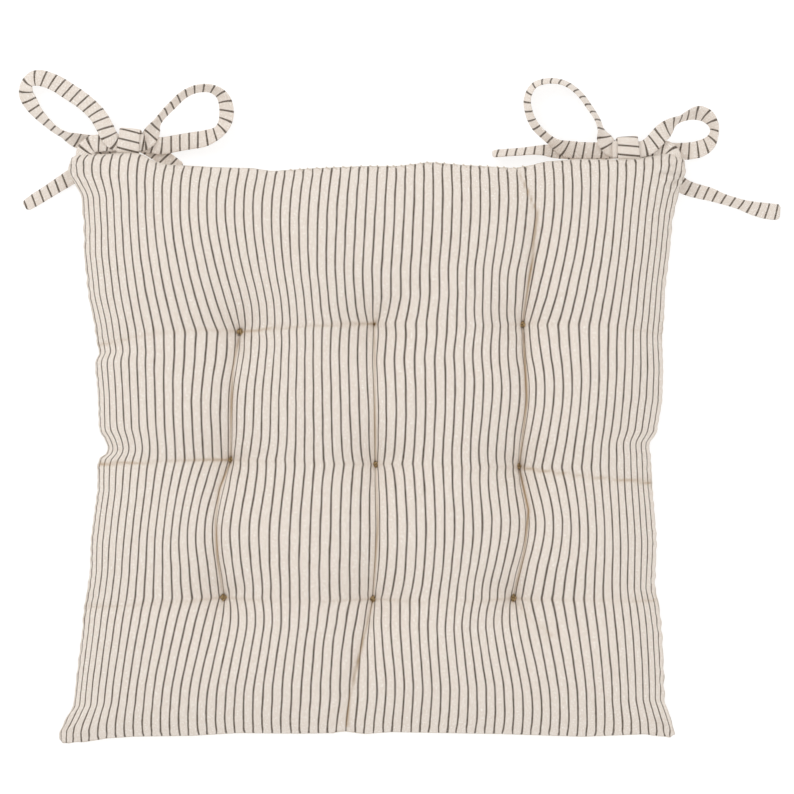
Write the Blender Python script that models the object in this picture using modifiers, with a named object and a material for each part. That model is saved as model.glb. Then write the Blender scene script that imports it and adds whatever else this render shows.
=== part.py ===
"""Tufted chair seat pad with two knotted pairs of ties.

A square cushion of striped cotton ticking, knife-edged, tufted through at nine
points, with a pair of flat fabric ties sewn into each back corner and tied in a
bow.  Metres, +Z up.  The pad lies flat on z = 0 with its ties towards +Y.
"""
import math

import bmesh
import bpy
from mathutils import Matrix, Vector

# --- the pad's driving sizes -------------------------------------------------
PAD_WIDTH = 0.400            # corner to corner, left to right
PAD_DEPTH = 0.381            # corner to corner, front to back
SIDE_PULL = 0.018            # how far the left and right seams draw in at mid-side
END_PULL = 0.007             # how far the front and back seams draw in at mid-side
PAD_HEIGHT = 0.049           # plumpest height between the tufts
SEAM_HEIGHT = 0.020          # height of the knife edge at mid-side
CORNER_HEIGHT = 0.0095       # height of the knife edge at a drooping corner
FABRIC = 0.0008              # ticking, doubled by its seam allowance
CLEARANCE = 0.0003           # smallest gap between neighbouring pieces

# --- tufting -----------------------------------------------------------------
TUFT_COLUMNS = (-0.094, -0.001, 0.093)
TUFT_ROWS = (0.080, -0.009, -0.096)
TUFT_PULL = 0.5              # share of the rise that a tuft pulls down
TUFT_REACH = 0.030           # radius of the dip around a tuft
DIMPLE_RADIUS = 0.024        # shallow dimple underneath
TWINE_RADIUS = 0.0008
TWINE_HOLE_CLEARANCE = 0.0005
KNOT_BEAD_RADIUS = 0.0019
KNOT_BEAD_HEIGHT = 0.0024
KNOT_SEAT_CLEARANCE = 0.0005 # between a knot and the cover it pulls down
FLOOR_CLEARANCE = 0.0005     # between a lower knot and the seat

# --- seam --------------------------------------------------------------------
THREAD_RADIUS = 0.0004
THREAD_CLEARANCE = 0.0006
THREAD_INSET = 0.0012
CLOSING_START = 0.56         # share of the way round where the hand-closed stretch starts
CLOSING_END = 0.66
THREAD_POINTS = 96

# --- filling -----------------------------------------------------------------
FILLING_CLEARANCE = 0.0008
FILLING_RIM_SHARE = 0.85     # the wadding stops short of the seam by this share of a grid step

# --- ties --------------------------------------------------------------------
TIE_WIDTH = 0.011
TIE_THICKNESS = 0.0018
TIE_EDGE = 0.0004            # rounding of the tie's folded edges
KNOT_LENGTH = 0.014          # of the wrap round the knot
KNOT_SIDE_CLEARANCE = 0.0006
KNOT_PASSES = 5
STATIONS_PER_GAP = 2

SPAN_STEPS = 6               # grid lines between one tuft line and the next

HALF_WIDTH = PAD_WIDTH / 2
HALF_DEPTH = PAD_DEPTH / 2
PANEL_GAP = THREAD_RADIUS + THREAD_CLEARANCE
TWINE_HOLE = TWINE_RADIUS + TWINE_HOLE_CLEARANCE
DIMPLE_DEPTH = KNOT_BEAD_HEIGHT + FLOOR_CLEARANCE + KNOT_SEAT_CLEARANCE
RISE = PAD_HEIGHT - SEAM_HEIGHT - PANEL_GAP - FABRIC
KNOT_HEIGHT = KNOT_PASSES * (TIE_THICKNESS + CLEARANCE) + CLEARANCE + 2 * TIE_THICKNESS
KNOT_WIDTH = TIE_WIDTH + 2 * (KNOT_SIDE_CLEARANCE + TIE_THICKNESS)

# --- routes of the ties: x, y, z in millimetres and lean in degrees ------------
# Lean 0 lies flat and 90 stands on its edge.  Each starts at the corner seam.
TIE_ROUTES = {
    "tie_left_a": (
        (-190.0, 190.4, 8.45, 0), (-189.4, 195.4, 8.4, 0), (-186.6, 199.2, 8.3, 0),
        (-181.5, 200.8, 8.1, 0), (-168.5, 201.0, 7.5, 0), (-161.2, 201.0, 7.5, 0),
        (-154.0, 201.0, 7.5, 0), (-149.5, 203.2, 7.5, 0), (-146.3, 208.0, 7.5, 20),
        (-143.3, 214.0, 7.2, 65), (-139.1, 219.7, 6.8, 90), (-133.3, 225.6, 6.8, 90),
        (-127.4, 231.4, 6.8, 90), (-120.9, 235.3, 6.8, 90), (-114.4, 236.9, 6.8, 85),
        (-107.9, 236.6, 6.8, 75), (-102.0, 233.5, 6.6, 55), (-98.5, 227.5, 6.2, 35),
        (-97.8, 219.7, 5.6, 25), (-99.5, 213.0, 5.4, 35), (-103.9, 207.8, 5.4, 40),
        (-112.5, 204.1, 5.2, 15), (-120.3, 202.8, 5.0, 0), (-128.0, 201.5, 5.0, 0),
        (-139.1, 199.6, 5.0, 0), (-147.0, 200.0, 5.2, 0), (-154.0, 201.0, 5.4, 0),
        (-161.2, 201.0, 5.4, 0), (-168.5, 201.0, 5.4, 0), (-176.0, 197.3, 5.2, 0),
        (-184.0, 190.6, 4.4, 0), (-193.0, 183.6, 3.0, 0), (-201.5, 178.1, 1.6, 0),
        (-208.7, 173.6, 1.3, 0), (-215.8, 169.0, 1.3, 0), (-223.0, 164.5, 1.3, 0),
        (-230.1, 159.9, 1.3, 0)),
    "tie_left_b": (
        (-190.0, 190.4, 10.55, 0), (-189.4, 195.4, 10.5, 0), (-186.6, 199.2, 10.4, 0),
        (-181.5, 200.8, 10.2, 0), (-168.5, 201.0, 9.6, 0), (-161.2, 201.0, 9.6, 0),
        (-152.6, 201.0, 9.6, 0), (-151.8, 201.0, 9.9, 0), (-151.5, 201.0, 10.65, 0),
        (-151.8, 201.0, 11.4, 0), (-152.6, 201.0, 11.7, 0), (-161.2, 201.0, 11.7, 0),
        (-169.4, 201.1, 11.7, 0), (-174.0, 205.2, 12.4, 0), (-177.2, 211.8, 12.2, 0),
        (-182.6, 220.2, 10.5, 0), (-191.1, 228.2, 8.5, 0), (-201.0, 235.0, 7.0, 0),
        (-210.6, 240.8, 6.0, 0), (-221.0, 243.8, 5.6, 12), (-227.6, 241.0, 5.6, 40),
        (-229.0, 234.5, 5.4, 32), (-226.5, 228.5, 5.2, 25), (-220.4, 220.0, 6.0, 50),
        (-210.6, 210.6, 6.8, 85), (-204.0, 206.6, 6.2, 66), (-198.0, 203.8, 4.8, 38),
        (-191.0, 201.8, 3.0, 12), (-183.0, 200.8, 2.3, 0), (-175.0, 200.9, 2.7, 0),
        (-168.5, 201.0, 3.3, 0), (-161.2, 201.0, 3.3, 0), (-154.0, 201.0, 3.3, 0),
        (-146.0, 197.0, 2.4, 0), (-137.0, 190.6, 1.5, 0), (-128.0, 184.5, 1.3, 0)),
    "tie_right_a": (
        (193.0, 190.4, 8.45, 0), (192.4, 193.3, 8.4, 0), (190.4, 195.4, 8.3, 0),
        (187.0, 196.3, 8.2, 0), (171.8, 196.3, 7.5, 0), (164.5, 196.3, 7.5, 0),
        (157.2, 196.3, 7.5, 0), (152.6, 198.4, 7.5, 0), (149.4, 203.0, 7.5, 15),
        (147.0, 209.5, 7.2, 65), (144.5, 216.5, 6.8, 90), (139.1, 224.9, 6.8, 90),
        (132.6, 233.4, 6.8, 90), (123.5, 239.9, 6.8, 90), (113.1, 241.5, 6.8, 90),
        (103.4, 238.6, 6.8, 90), (98.9, 230.1, 6.8, 85), (100.0, 220.4, 6.8, 85),
        (104.0, 212.0, 6.9, 88), (110.5, 205.4, 7.6, 85), (116.5, 200.8, 8.3, 60),
        (124.0, 197.4, 6.6, 22), (134.0, 196.2, 5.2, 0), (146.0, 196.2, 5.1, 0),
        (157.2, 196.3, 5.4, 0), (164.5, 196.3, 5.4, 0), (171.8, 196.3, 5.4, 0),
        (178.5, 193.3, 5.3, 0), (185.5, 187.0, 4.7, 0), (193.0, 179.0, 3.2, 0),
        (202.0, 172.6, 1.8, 0), (210.6, 169.7, 1.4, 0), (218.4, 167.7, 2.2, 10),
        (226.9, 164.5, 4.2, 35), (236.6, 161.5, 4.0, 30), (246.4, 158.6, 2.4, 12),
        (256.1, 156.7, 1.4, 0), (264.6, 156.0, 1.3, 0)),
    "tie_right_b": (
        (193.0, 190.4, 10.55, 0), (192.4, 193.3, 10.5, 0), (190.4, 195.4, 10.4, 0),
        (187.0, 196.3, 10.3, 0), (171.8, 196.3, 9.6, 0), (164.5, 196.3, 9.6, 0),
        (155.9, 196.3, 9.6, 0), (155.1, 196.3, 9.9, 0), (154.8, 196.3, 10.65, 0),
        (155.1, 196.3, 11.4, 0), (155.9, 196.3, 11.7, 0), (164.5, 196.3, 11.7, 0),
        (172.6, 196.4, 11.7, 0), (178.8, 199.2, 12.6, 0), (185.9, 206.6, 13.4, 0),
        (191.1, 211.3, 11.6, 35), (197.0, 215.6, 8.8, 72), (204.1, 219.1, 7.2, 60),
        (210.6, 220.5, 6.8, 38), (216.5, 218.4, 6.6, 42), (220.5, 213.0, 6.8, 60),
        (220.9, 207.0, 6.6, 62), (217.8, 201.0, 5.8, 36), (212.0, 197.4, 4.2, 10),
        (204.1, 195.9, 2.8, 0), (195.0, 195.9, 2.1, 0), (185.0, 196.1, 2.2, 0),
        (171.8, 196.3, 3.3, 0), (164.5, 196.3, 3.3, 0), (157.2, 196.3, 3.3, 0),
        (146.0, 195.4, 2.0, 0), (134.0, 195.0, 1.4, 0), (119.6, 195.7, 1.5, 0),
        (106.6, 196.3, 4.9, 42), (93.6, 195.3, 4.9, 45), (80.6, 194.4, 4.7, 40),
        (76.0, 193.7, 4.6, 38)),
}
KNOT_CENTRES = {"knot_left": (-0.1612, 0.2010), "knot_right": (0.1645, 0.1965)}


# --- scene and materials -----------------------------------------------------
def clear_scene():
    for leftover in list(bpy.data.objects):
        bpy.data.objects.remove(leftover, do_unlink=True)


def new_collection(name):
    collection = bpy.data.collections.new(name)
    bpy.context.scene.collection.children.link(collection)
    return collection


def new_material(name, colour, roughness):
    material = bpy.data.materials.new(name)
    material.use_nodes = True
    shader = material.node_tree.nodes["Principled BSDF"]
    shader.inputs["Base Color"].default_value = (*colour, 1.0)
    shader.inputs["Roughness"].default_value = roughness
    shader.inputs["Metallic"].default_value = 0.0
    return material


def ticking_material():
    return new_material("striped_ticking", (0.66, 0.60, 0.53), 0.9)


def wadding_material():
    return new_material("cotton_wadding", (0.82, 0.79, 0.72), 1.0)


def thread_material():
    return new_material("sewing_thread", (0.72, 0.67, 0.58), 0.7)


def twine_material():
    return new_material("tuft_twine", (0.24, 0.17, 0.06), 0.8)


def finish_object(name, mesh, material, collection, smooth=True):
    item = bpy.data.objects.new(name, mesh)
    collection.objects.link(item)
    mesh.materials.append(material)
    mesh.polygons.foreach_set("use_smooth", [smooth] * len(mesh.polygons))
    return item


def mesh_from(bm, name):
    bmesh.ops.recalc_face_normals(bm, faces=bm.faces)
    mesh = bpy.data.meshes.new(name)
    bm.to_mesh(mesh)
    bm.free()
    return mesh


# --- the pad's shape -----------------------------------------------------------
def span_position(lines, along):
    """Place between neighbouring lines; steps crowd towards each line."""
    span = min(int(along), len(lines) - 2)
    share = 0.5 - 0.5 * math.cos(math.pi * (along - span))
    return lines[span] + share * (lines[span + 1] - lines[span])


def pad_place(a, b):
    """Plan position of a point counted in tuft spans from the front left corner.

    Its share of the way from the pad's middle to the seam comes with it.
    """
    across = a / 2 - 1
    along = b / 2 - 1
    side = HALF_WIDTH - SIDE_PULL * (1 - along * along)
    end = HALF_DEPTH - END_PULL * (1 - across * across)
    x = span_position((-side, *TUFT_COLUMNS, side), a)
    y = span_position((-end, *reversed(TUFT_ROWS), end), b)
    return x, y, x / side, y / end


def seam_height(u, v):
    return SEAM_HEIGHT - (SEAM_HEIGHT - CORNER_HEIGHT) * abs(u * v) ** 3


def tuft_distances(x, y):
    return [math.hypot(x - column, y - row) for column in TUFT_COLUMNS for row in TUFT_ROWS]


def top_height(x, y, u, v):
    swell = math.sqrt(max(0.0, (1 - abs(u) ** 2.4) * (1 - abs(v) ** 2.4)))
    dip = 1.0
    for distance in tuft_distances(x, y):
        dip *= 1 - TUFT_PULL * math.exp(-(distance / TUFT_REACH) ** 2)
    return seam_height(u, v) + PANEL_GAP + FABRIC + RISE * swell * dip


def bottom_height(x, y, u, v):
    swell = math.sqrt(max(0.0, (1 - abs(u) ** 6) * (1 - abs(v) ** 6)))
    height = (seam_height(u, v) - PANEL_GAP - FABRIC) * (1 - min(1.0, 1.12 * swell))
    for distance in tuft_distances(x, y):
        if distance < DIMPLE_RADIUS:
            height += DIMPLE_DEPTH * (1 - (distance / DIMPLE_RADIUS) ** 2) ** 2
    return height


def slope_factor(height_at, a, b):
    """How much further apart two parallel surfaces are, measured upwards."""
    step = 0.05
    low_a, high_a = max(0.0, a - step), min(4.0, a + step)
    low_b, high_b = max(0.0, b - step), min(4.0, b + step)
    left, right = pad_place(low_a, b), pad_place(high_a, b)
    front, back = pad_place(a, low_b), pad_place(a, high_b)
    rise_x = (height_at(*right) - height_at(*left)) / (right[0] - left[0])
    rise_y = (height_at(*back) - height_at(*front)) / (back[1] - front[1])
    return min(3.0, math.sqrt(1 + rise_x ** 2 + rise_y ** 2))


def surface_point(height_at, a, b, offset):
    place = pad_place(a, b)
    return Vector((place[0], place[1], height_at(*place) + offset * slope_factor(height_at, a, b)))


def shaped_sheet(bm, height_at, offset=0.0, rim_share=0.0):
    """A grid laid over the pad's plan, its lines running through every tuft.

    Its rim can stop short of the seam, a share of the way to the next line in.
    """
    cells = 4 * SPAN_STEPS
    step = 1 / SPAN_STEPS
    sheet = bmesh.ops.create_grid(bm, x_segments=cells, y_segments=cells, size=1.0)
    for vertex in sheet["verts"]:
        a = (vertex.co.x + 1) * 2
        b = (vertex.co.y + 1) * 2
        at_seam = surface_point(height_at, a, b, offset)
        inner = surface_point(height_at, min(max(a, step), 4 - step), min(max(b, step), 4 - step), offset)
        vertex.co = at_seam.lerp(inner, rim_share)
    return sheet["verts"]


# --- the pieces of the pad -----------------------------------------------------
def cut_twine_holes(item, cutter):
    cut = item.modifiers.new("twine_holes", "BOOLEAN")
    cut.operation = "DIFFERENCE"
    cut.solver = "EXACT"
    cut.object = cutter


def make_hole_cutter(guides):
    bm = bmesh.new()
    for x in TUFT_COLUMNS:
        for y in TUFT_ROWS:
            bmesh.ops.create_cone(bm, cap_ends=True, segments=10, radius1=TWINE_HOLE,
                                  radius2=TWINE_HOLE, depth=0.2,
                                  matrix=Matrix.Translation((x, y, 0.02)))
    cutter = bpy.data.objects.new("twine_hole_cutter", mesh_from(bm, "twine_hole_cutter"))
    guides.objects.link(cutter)
    cutter.hide_render = True
    cutter.display_type = "WIRE"
    return cutter


def make_cover(name, height_at, inward, material, model, cutter):
    bm = bmesh.new()
    shaped_sheet(bm, height_at)
    bmesh.ops.recalc_face_normals(bm, faces=bm.faces)
    if sum(face.normal.z for face in bm.faces) * inward > 0:
        bmesh.ops.reverse_faces(bm, faces=bm.faces)
    mesh = bpy.data.meshes.new(name)
    bm.to_mesh(mesh)
    bm.free()
    cover = finish_object(name, mesh, material, model)
    wall = cover.modifiers.new("fabric", "SOLIDIFY")
    wall.thickness = FABRIC
    wall.offset = -1.0
    cut_twine_holes(cover, cutter)
    return cover


def make_filling(material, model, cutter):
    """One core of wadding: two grids, joined round the rim."""
    room = FABRIC + FILLING_CLEARANCE
    bm = bmesh.new()
    shaped_sheet(bm, top_height, -room, FILLING_RIM_SHARE)
    shaped_sheet(bm, bottom_height, room, FILLING_RIM_SHARE)
    rims = [edge for edge in bm.edges if edge.is_boundary]
    bmesh.ops.bridge_loops(bm, edges=rims)
    filling = finish_object("filling", mesh_from(bm, "filling"), material, model)
    cut_twine_holes(filling, cutter)
    return filling


def seam_point(share):
    """A point on the seam line, going round from the front left corner."""
    side, along = divmod(share % 1.0 * 4, 1.0)
    a, b = ((along * 4, 0.0), (4.0, along * 4), (4 - along * 4, 4.0), (0.0, 4 - along * 4))[int(side)]
    x, y, u, v = pad_place(a, b)
    inward = 1 - THREAD_INSET / HALF_DEPTH
    return x * inward, y * inward, seam_height(u, v)


def make_thread(name, start, end, material, model):
    count = max(4, round(THREAD_POINTS * (end - start)))
    curve = bpy.data.curves.new(name, "CURVE")
    curve.dimensions = "3D"
    curve.bevel_depth = THREAD_RADIUS
    curve.bevel_resolution = 1
    curve.use_fill_caps = True
    line = curve.splines.new("POLY")
    line.points.add(count)
    for index, point in enumerate(line.points):
        point.co = (*seam_point(start + (end - start) * index / count), 1.0)
    thread = bpy.data.objects.new(name, curve)
    thread.data.materials.append(material)
    model.objects.link(thread)
    return thread


def make_twine(name, x, y, material, model):
    """Twine drawn through the pad, with a knot above and a knot below."""
    across, along = span_index(TUFT_COLUMNS, x), span_index(tuple(reversed(TUFT_ROWS)), y)
    place = pad_place(across, along)
    top = top_height(*place) + KNOT_SEAT_CLEARANCE
    low = bottom_height(*place) - KNOT_SEAT_CLEARANCE
    middle = KNOT_BEAD_HEIGHT / 2
    profile = [(0.0, top + KNOT_BEAD_HEIGHT), (KNOT_BEAD_RADIUS * 0.7, top + KNOT_BEAD_HEIGHT),
               (KNOT_BEAD_RADIUS, top + middle), (KNOT_BEAD_RADIUS, top),
               (TWINE_RADIUS, top), (TWINE_RADIUS, low), (KNOT_BEAD_RADIUS, low),
               (KNOT_BEAD_RADIUS, low - middle), (KNOT_BEAD_RADIUS * 0.7, low - KNOT_BEAD_HEIGHT),
               (0.0, low - KNOT_BEAD_HEIGHT)]
    bm = bmesh.new()
    points = [bm.verts.new((radius, 0.0, height)) for radius, height in profile]
    for first, second in zip(points, points[1:]):
        bm.edges.new((first, second))
    mesh = bpy.data.meshes.new(name)
    bm.to_mesh(mesh)
    bm.free()
    twine = finish_object(name, mesh, material, model)
    twine.location = (x, y, 0.0)
    turn = twine.modifiers.new("turned", "SCREW")
    turn.steps = 10
    turn.render_steps = 10
    turn.use_merge_vertices = True
    turn.merge_threshold = 0.0001
    turn.use_smooth_shade = True
    return twine


def span_index(lines, value):
    """Which grid line, in spans from the pad's edge, runs through a tuft."""
    return lines.index(value) + 1.0


# --- the ties -------------------------------------------------------------------
def smooth_route(route):
    """Stations on one smooth curve through the route's points."""
    points = [Vector((x, y, z, lean)) for x, y, z, lean in route]
    points = [2 * points[0] - points[1], *points, 2 * points[-1] - points[-2]]
    stations = []
    for before, start, end, after in zip(points, points[1:], points[2:], points[3:]):
        for step in range(STATIONS_PER_GAP):
            t = step / STATIONS_PER_GAP
            stations.append(0.5 * (2 * start + (end - before) * t
                                   + (2 * before - 5 * start + 4 * end - after) * t * t
                                   + (3 * start - before - 3 * end + after) * t ** 3))
    stations.append(points[-2])
    return stations


def tie_frames(stations):
    """A frame at each station: X across the tie, Y out of its face, Z along it."""
    places = [Vector(station[:3]) * 0.001 for station in stations]
    frames = []
    side = None
    for index, place in enumerate(places):
        ahead = places[min(index + 1, len(places) - 1)]
        behind = places[max(index - 1, 0)]
        forward = (ahead - behind).normalized()
        level = Vector((-forward.y, forward.x, 0.0))
        if level.length < 0.3:
            level = side.copy()
        level = (level - forward * level.dot(forward)).normalized()
        if side is not None and level.dot(side) < 0:
            level = -level
        side = level
        across = Matrix.Rotation(math.radians(stations[index][3]), 3, forward) @ level
        out = forward.cross(across)
        frames.append(Matrix((across, out, forward)).transposed().to_4x4())
        frames[-1].translation = place
    return frames


def tie_section(bm):
    """The tie's cross-section: a flat strip with eased edges."""
    grid = bmesh.ops.create_grid(bm, x_segments=1, y_segments=1, size=0.5)
    for vertex in grid["verts"]:
        vertex.co.x *= TIE_WIDTH
        vertex.co.y *= TIE_THICKNESS
    bmesh.ops.bevel(bm, geom=grid["verts"], offset=TIE_EDGE, segments=1, affect="VERTICES",
                    profile=0.5, material=-1)
    return bm.faces[:]


def make_tie(name, route, material, model):
    """The section is drawn out along the route, one station at a time."""
    frames = tie_frames(smooth_route(route))
    bm = bmesh.new()
    end = tie_section(bm)
    bmesh.ops.transform(bm, matrix=frames[0], verts=bm.verts[:])
    for index in range(1, len(frames)):
        grown = bmesh.ops.extrude_face_region(bm, geom=end)["geom"]
        if index > 1:
            bmesh.ops.delete(bm, geom=end, context="FACES_ONLY")
        end = [part for part in grown if isinstance(part, bmesh.types.BMFace)]
        moved = [part for part in grown if isinstance(part, bmesh.types.BMVert)]
        carry = frames[index] @ frames[index - 1].inverted()
        bmesh.ops.transform(bm, matrix=carry, verts=moved)
    return finish_object(name, mesh_from(bm, name), material, model)


def make_box(name, size, place):
    bm = bmesh.new()
    bmesh.ops.create_cube(bm, size=1.0, matrix=Matrix.Diagonal((*size, 1.0)))
    bmesh.ops.translate(bm, vec=place, verts=bm.verts[:])
    return mesh_from(bm, name)


def make_knot(name, centre, material, model, guides):
    """The wrap of tie round the passes that lie inside the knot."""
    middle = (centre[0], centre[1], CLEARANCE + KNOT_HEIGHT / 2)
    inner_size = (KNOT_LENGTH * 2, KNOT_WIDTH - 2 * TIE_THICKNESS, KNOT_HEIGHT - 2 * TIE_THICKNESS)
    mesh = make_box(name, (KNOT_LENGTH, KNOT_WIDTH, KNOT_HEIGHT), middle)
    knot = finish_object(name, mesh, material, model, smooth=False)
    ease = knot.modifiers.new("eased_edges", "BEVEL")
    ease.width = TIE_THICKNESS * 0.6
    ease.segments = 2
    opening = bpy.data.objects.new(name + "_opening", make_box(name + "_opening", inner_size, middle))
    guides.objects.link(opening)
    opening.hide_render = True
    opening.display_type = "WIRE"
    cut = knot.modifiers.new("opening", "BOOLEAN")
    cut.operation = "DIFFERENCE"
    cut.solver = "EXACT"
    cut.object = opening
    return knot


def build():
    clear_scene()
    model = new_collection("chair_seat_pad")
    guides = new_collection("cutters")
    ticking = ticking_material()
    thread = thread_material()
    twine = twine_material()
    cutter = make_hole_cutter(guides)
    make_cover("cover_top", top_height, -1, ticking, model, cutter)
    make_cover("cover_bottom", bottom_height, 1, ticking, model, cutter)
    make_filling(wadding_material(), model, cutter)
    joint = 0.002
    make_thread("seam_thread", CLOSING_END + joint - 1, CLOSING_START - joint, thread, model)
    make_thread("closing_thread", CLOSING_START, CLOSING_END, thread, model)
    for column, x in enumerate(TUFT_COLUMNS, start=1):
        for row, y in enumerate(TUFT_ROWS, start=1):
            make_twine(f"tuft_twine_{row}_{column}", x, y, twine, model)
    for name, route in TIE_ROUTES.items():
        make_tie(name, route, ticking, model)
    for name, centre in KNOT_CENTRES.items():
        make_knot(name, centre, ticking, model, guides)


build()
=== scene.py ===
# %% [markdown]
# # A tufted chair pad with tied bows
#
# A chair pad is two squares of striped ticking sewn round the edge, turned
# right side out, stuffed with wadding and tufted through with twine.  A pair of
# ties is sewn into each back corner.  This lesson loads the plain model as a
# fixed frame and then makes every soft piece over it: ties first, then cloth.

import math

import bmesh
import bpy
import numpy as np
from mathutils import Matrix, Vector


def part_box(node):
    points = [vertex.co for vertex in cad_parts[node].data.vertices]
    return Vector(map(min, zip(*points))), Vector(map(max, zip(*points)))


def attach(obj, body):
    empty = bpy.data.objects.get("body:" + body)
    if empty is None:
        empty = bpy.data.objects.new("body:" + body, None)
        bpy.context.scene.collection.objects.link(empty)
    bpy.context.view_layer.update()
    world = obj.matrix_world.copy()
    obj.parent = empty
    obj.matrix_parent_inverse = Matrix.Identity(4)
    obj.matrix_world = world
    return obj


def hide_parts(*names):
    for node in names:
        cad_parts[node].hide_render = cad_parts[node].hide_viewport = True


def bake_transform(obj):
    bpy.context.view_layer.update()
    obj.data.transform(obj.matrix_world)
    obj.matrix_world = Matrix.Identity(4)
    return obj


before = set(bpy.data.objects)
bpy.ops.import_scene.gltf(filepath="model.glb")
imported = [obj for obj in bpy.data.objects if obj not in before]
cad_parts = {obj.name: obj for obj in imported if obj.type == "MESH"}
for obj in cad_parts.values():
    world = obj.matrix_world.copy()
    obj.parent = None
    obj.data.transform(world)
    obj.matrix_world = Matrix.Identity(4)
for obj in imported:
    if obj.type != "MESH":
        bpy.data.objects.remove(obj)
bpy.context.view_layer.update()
MM = 0.001
pad_low, pad_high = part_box("cover_top")
print("covers span", [round(v, 4) for v in pad_low], [round(v, 4) for v in pad_high])

# %% [markdown]
# ## Camera, floor and light
#
# The pad is seen from straight above, so a long lens high over it keeps the
# edges from leaning.  A pale floor and broad overhead lights give the soft,
# nearly shadowless look of a product table.  The colours are shown with the
# standard transform, so that cream cloth stays cream.

# %% Camera
VIEW_CENTRE = Vector((13.65, 34.45, 20.0)) * MM
VIEW_WIDTH = 516.0 * MM
VIEW_HEIGHT = 2.4


def make_camera():
    lens = bpy.data.cameras.new("overhead_camera")
    lens.sensor_width = 36.0
    lens.lens = lens.sensor_width * VIEW_HEIGHT / VIEW_WIDTH
    lens.clip_end = 20.0
    camera = bpy.data.objects.new("overhead_camera", lens)
    bpy.context.scene.collection.objects.link(camera)
    camera.location = VIEW_CENTRE + Vector((0, 0, VIEW_HEIGHT))
    bpy.context.scene.camera = camera
    return camera


make_camera()
bpy.context.scene.view_settings.view_transform = "Standard"
bpy.context.scene.view_settings.look = "None"
print("camera looks down from", VIEW_HEIGHT, "m")

# %% Floor and lights


def floor_material():
    material = bpy.data.materials.new("pale_floor")
    material.use_nodes = True
    shader = material.node_tree.nodes["Principled BSDF"]
    shader.inputs["Base Color"].default_value = (0.40, 0.40, 0.40, 1)
    shader.inputs["Roughness"].default_value = 0.9
    shader.inputs["Emission Color"].default_value = (1, 1, 1, 1)
    shader.inputs["Emission Strength"].default_value = 0.68
    return material


def make_floor():
    bm = bmesh.new()
    bmesh.ops.create_grid(bm, x_segments=1, y_segments=1, size=6.0)
    bmesh.ops.translate(bm, vec=(0, 0, -0.0004), verts=bm.verts[:])
    mesh = bpy.data.meshes.new("floor")
    bm.to_mesh(mesh)
    bm.free()
    mesh.materials.append(floor_material())
    floor = bpy.data.objects.new("floor", mesh)
    bpy.context.scene.collection.objects.link(floor)


def area_light(name, place, size, power):
    """A square softbox that faces the middle of the pad."""
    light = bpy.data.lights.new(name, "AREA")
    light.shape = "SQUARE"
    light.size = size
    light.energy = power
    lamp = bpy.data.objects.new(name, light)
    bpy.context.scene.collection.objects.link(lamp)
    lamp.location = place
    lamp.rotation_euler = (Vector((0, 0, 0)) - Vector(place)).to_track_quat("-Z", "Y").to_euler()


def make_world():
    world = bpy.data.worlds.new("studio")
    world.use_nodes = True
    sky = world.node_tree.nodes["Background"]
    sky.inputs["Color"].default_value = (1, 1, 1, 1)
    sky.inputs["Strength"].default_value = 0.86
    bpy.context.scene.world = world


make_floor()
make_world()
area_light("upper_left_softbox", (-1.3, 1.5, 1.7), 1.2, 14.3)
area_light("lower_right_softbox", (1.5, -1.2, 2.0), 1.6, 6.6)
print("stage is set")

# %% [markdown]
# ## The ticking
#
# Ticking is a plain weave of cream yarns with one dark line every 6 mm.  The
# line is a pair of charcoal warp yarns; the cream weft passes over them at
# every other pick, so its edges are toothed and it is lighter in places.  The
# cloth map counts metres, so the stripes, the weave and the slubs keep their
# real sizes on every piece, and they bend wherever the cloth does.  Shade is
# painted into the hollows of the weave, and painted highlights fleck the
# yarns.  Deep folds and the dimples at the tufts get painted shade, in the
# warm colour that light takes on between two layers.

# %% Small helpers for building materials


class Recipe:
    """Adds nodes to one material and joins them with short calls."""

    def __init__(self, name):
        self.material = bpy.data.materials.new(name)
        self.material.use_nodes = True
        self.tree = self.material.node_tree
        self.shader = self.tree.nodes["Principled BSDF"]

    def add(self, kind, values=(), **settings):
        node = self.tree.nodes.new(kind)
        for key, value in settings.items():
            setattr(node, key, value)
        for socket, value in enumerate(values):
            self.feed(node.inputs[socket], value)
        return node

    def feed(self, socket, value):
        if isinstance(value, bpy.types.NodeSocket):
            self.tree.links.new(value, socket)
        elif value is not None:
            socket.default_value = value

    def math(self, operation, *values, clamp=False):
        return self.add("ShaderNodeMath", values, operation=operation, use_clamp=clamp).outputs[0]

    def stretch(self, value, low, high, to_low=0.0, to_high=1.0, smooth=True):
        node = self.add("ShaderNodeMapRange", (value, low, high, to_low, to_high))
        if smooth:
            node.interpolation_type = "SMOOTHSTEP"
        return node.outputs[0]

    def noise(self, vector, scale, detail=2.0):
        node = self.add("ShaderNodeTexNoise", (vector, None, scale, detail))
        return node.outputs[0]

    def place(self, x, y, z=0.0):
        return self.add("ShaderNodeCombineXYZ", (x, y, z)).outputs[0]

    def mix(self, share, first, second):
        node = self.tree.nodes.new("ShaderNodeMix")
        node.data_type = "RGBA"
        for socket, value in ((0, share), (6, first), (7, second)):
            self.feed(node.inputs[socket], value)
        return node.outputs[2]

    def bump(self, height, strength, distance):
        node = self.tree.nodes.new("ShaderNodeBump")
        node.inputs["Strength"].default_value = strength
        node.inputs["Distance"].default_value = distance
        self.tree.links.new(height, node.inputs["Height"])
        self.tree.links.new(node.outputs[0], self.shader.inputs["Normal"])


# %% The striped ticking
CLOTH_MAP = "cloth"
STRIPE_GAP = 6.0
YARN = 0.66
CREAM = (0.895, 0.825, 0.760, 1)
WARM_CREAM = (0.810, 0.722, 0.645, 1)
CHARCOAL = (0.046, 0.026, 0.010, 1)
# painted shade: the warm tan laid into deep folds and tuft dimples
FOLD_SHADE_TAN = (0.400, 0.262, 0.130, 1)
# painted highlight: near-white flecks on the yarns
HIGHLIGHT_FLECK = (1.0, 0.97, 0.93, 1)


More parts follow.
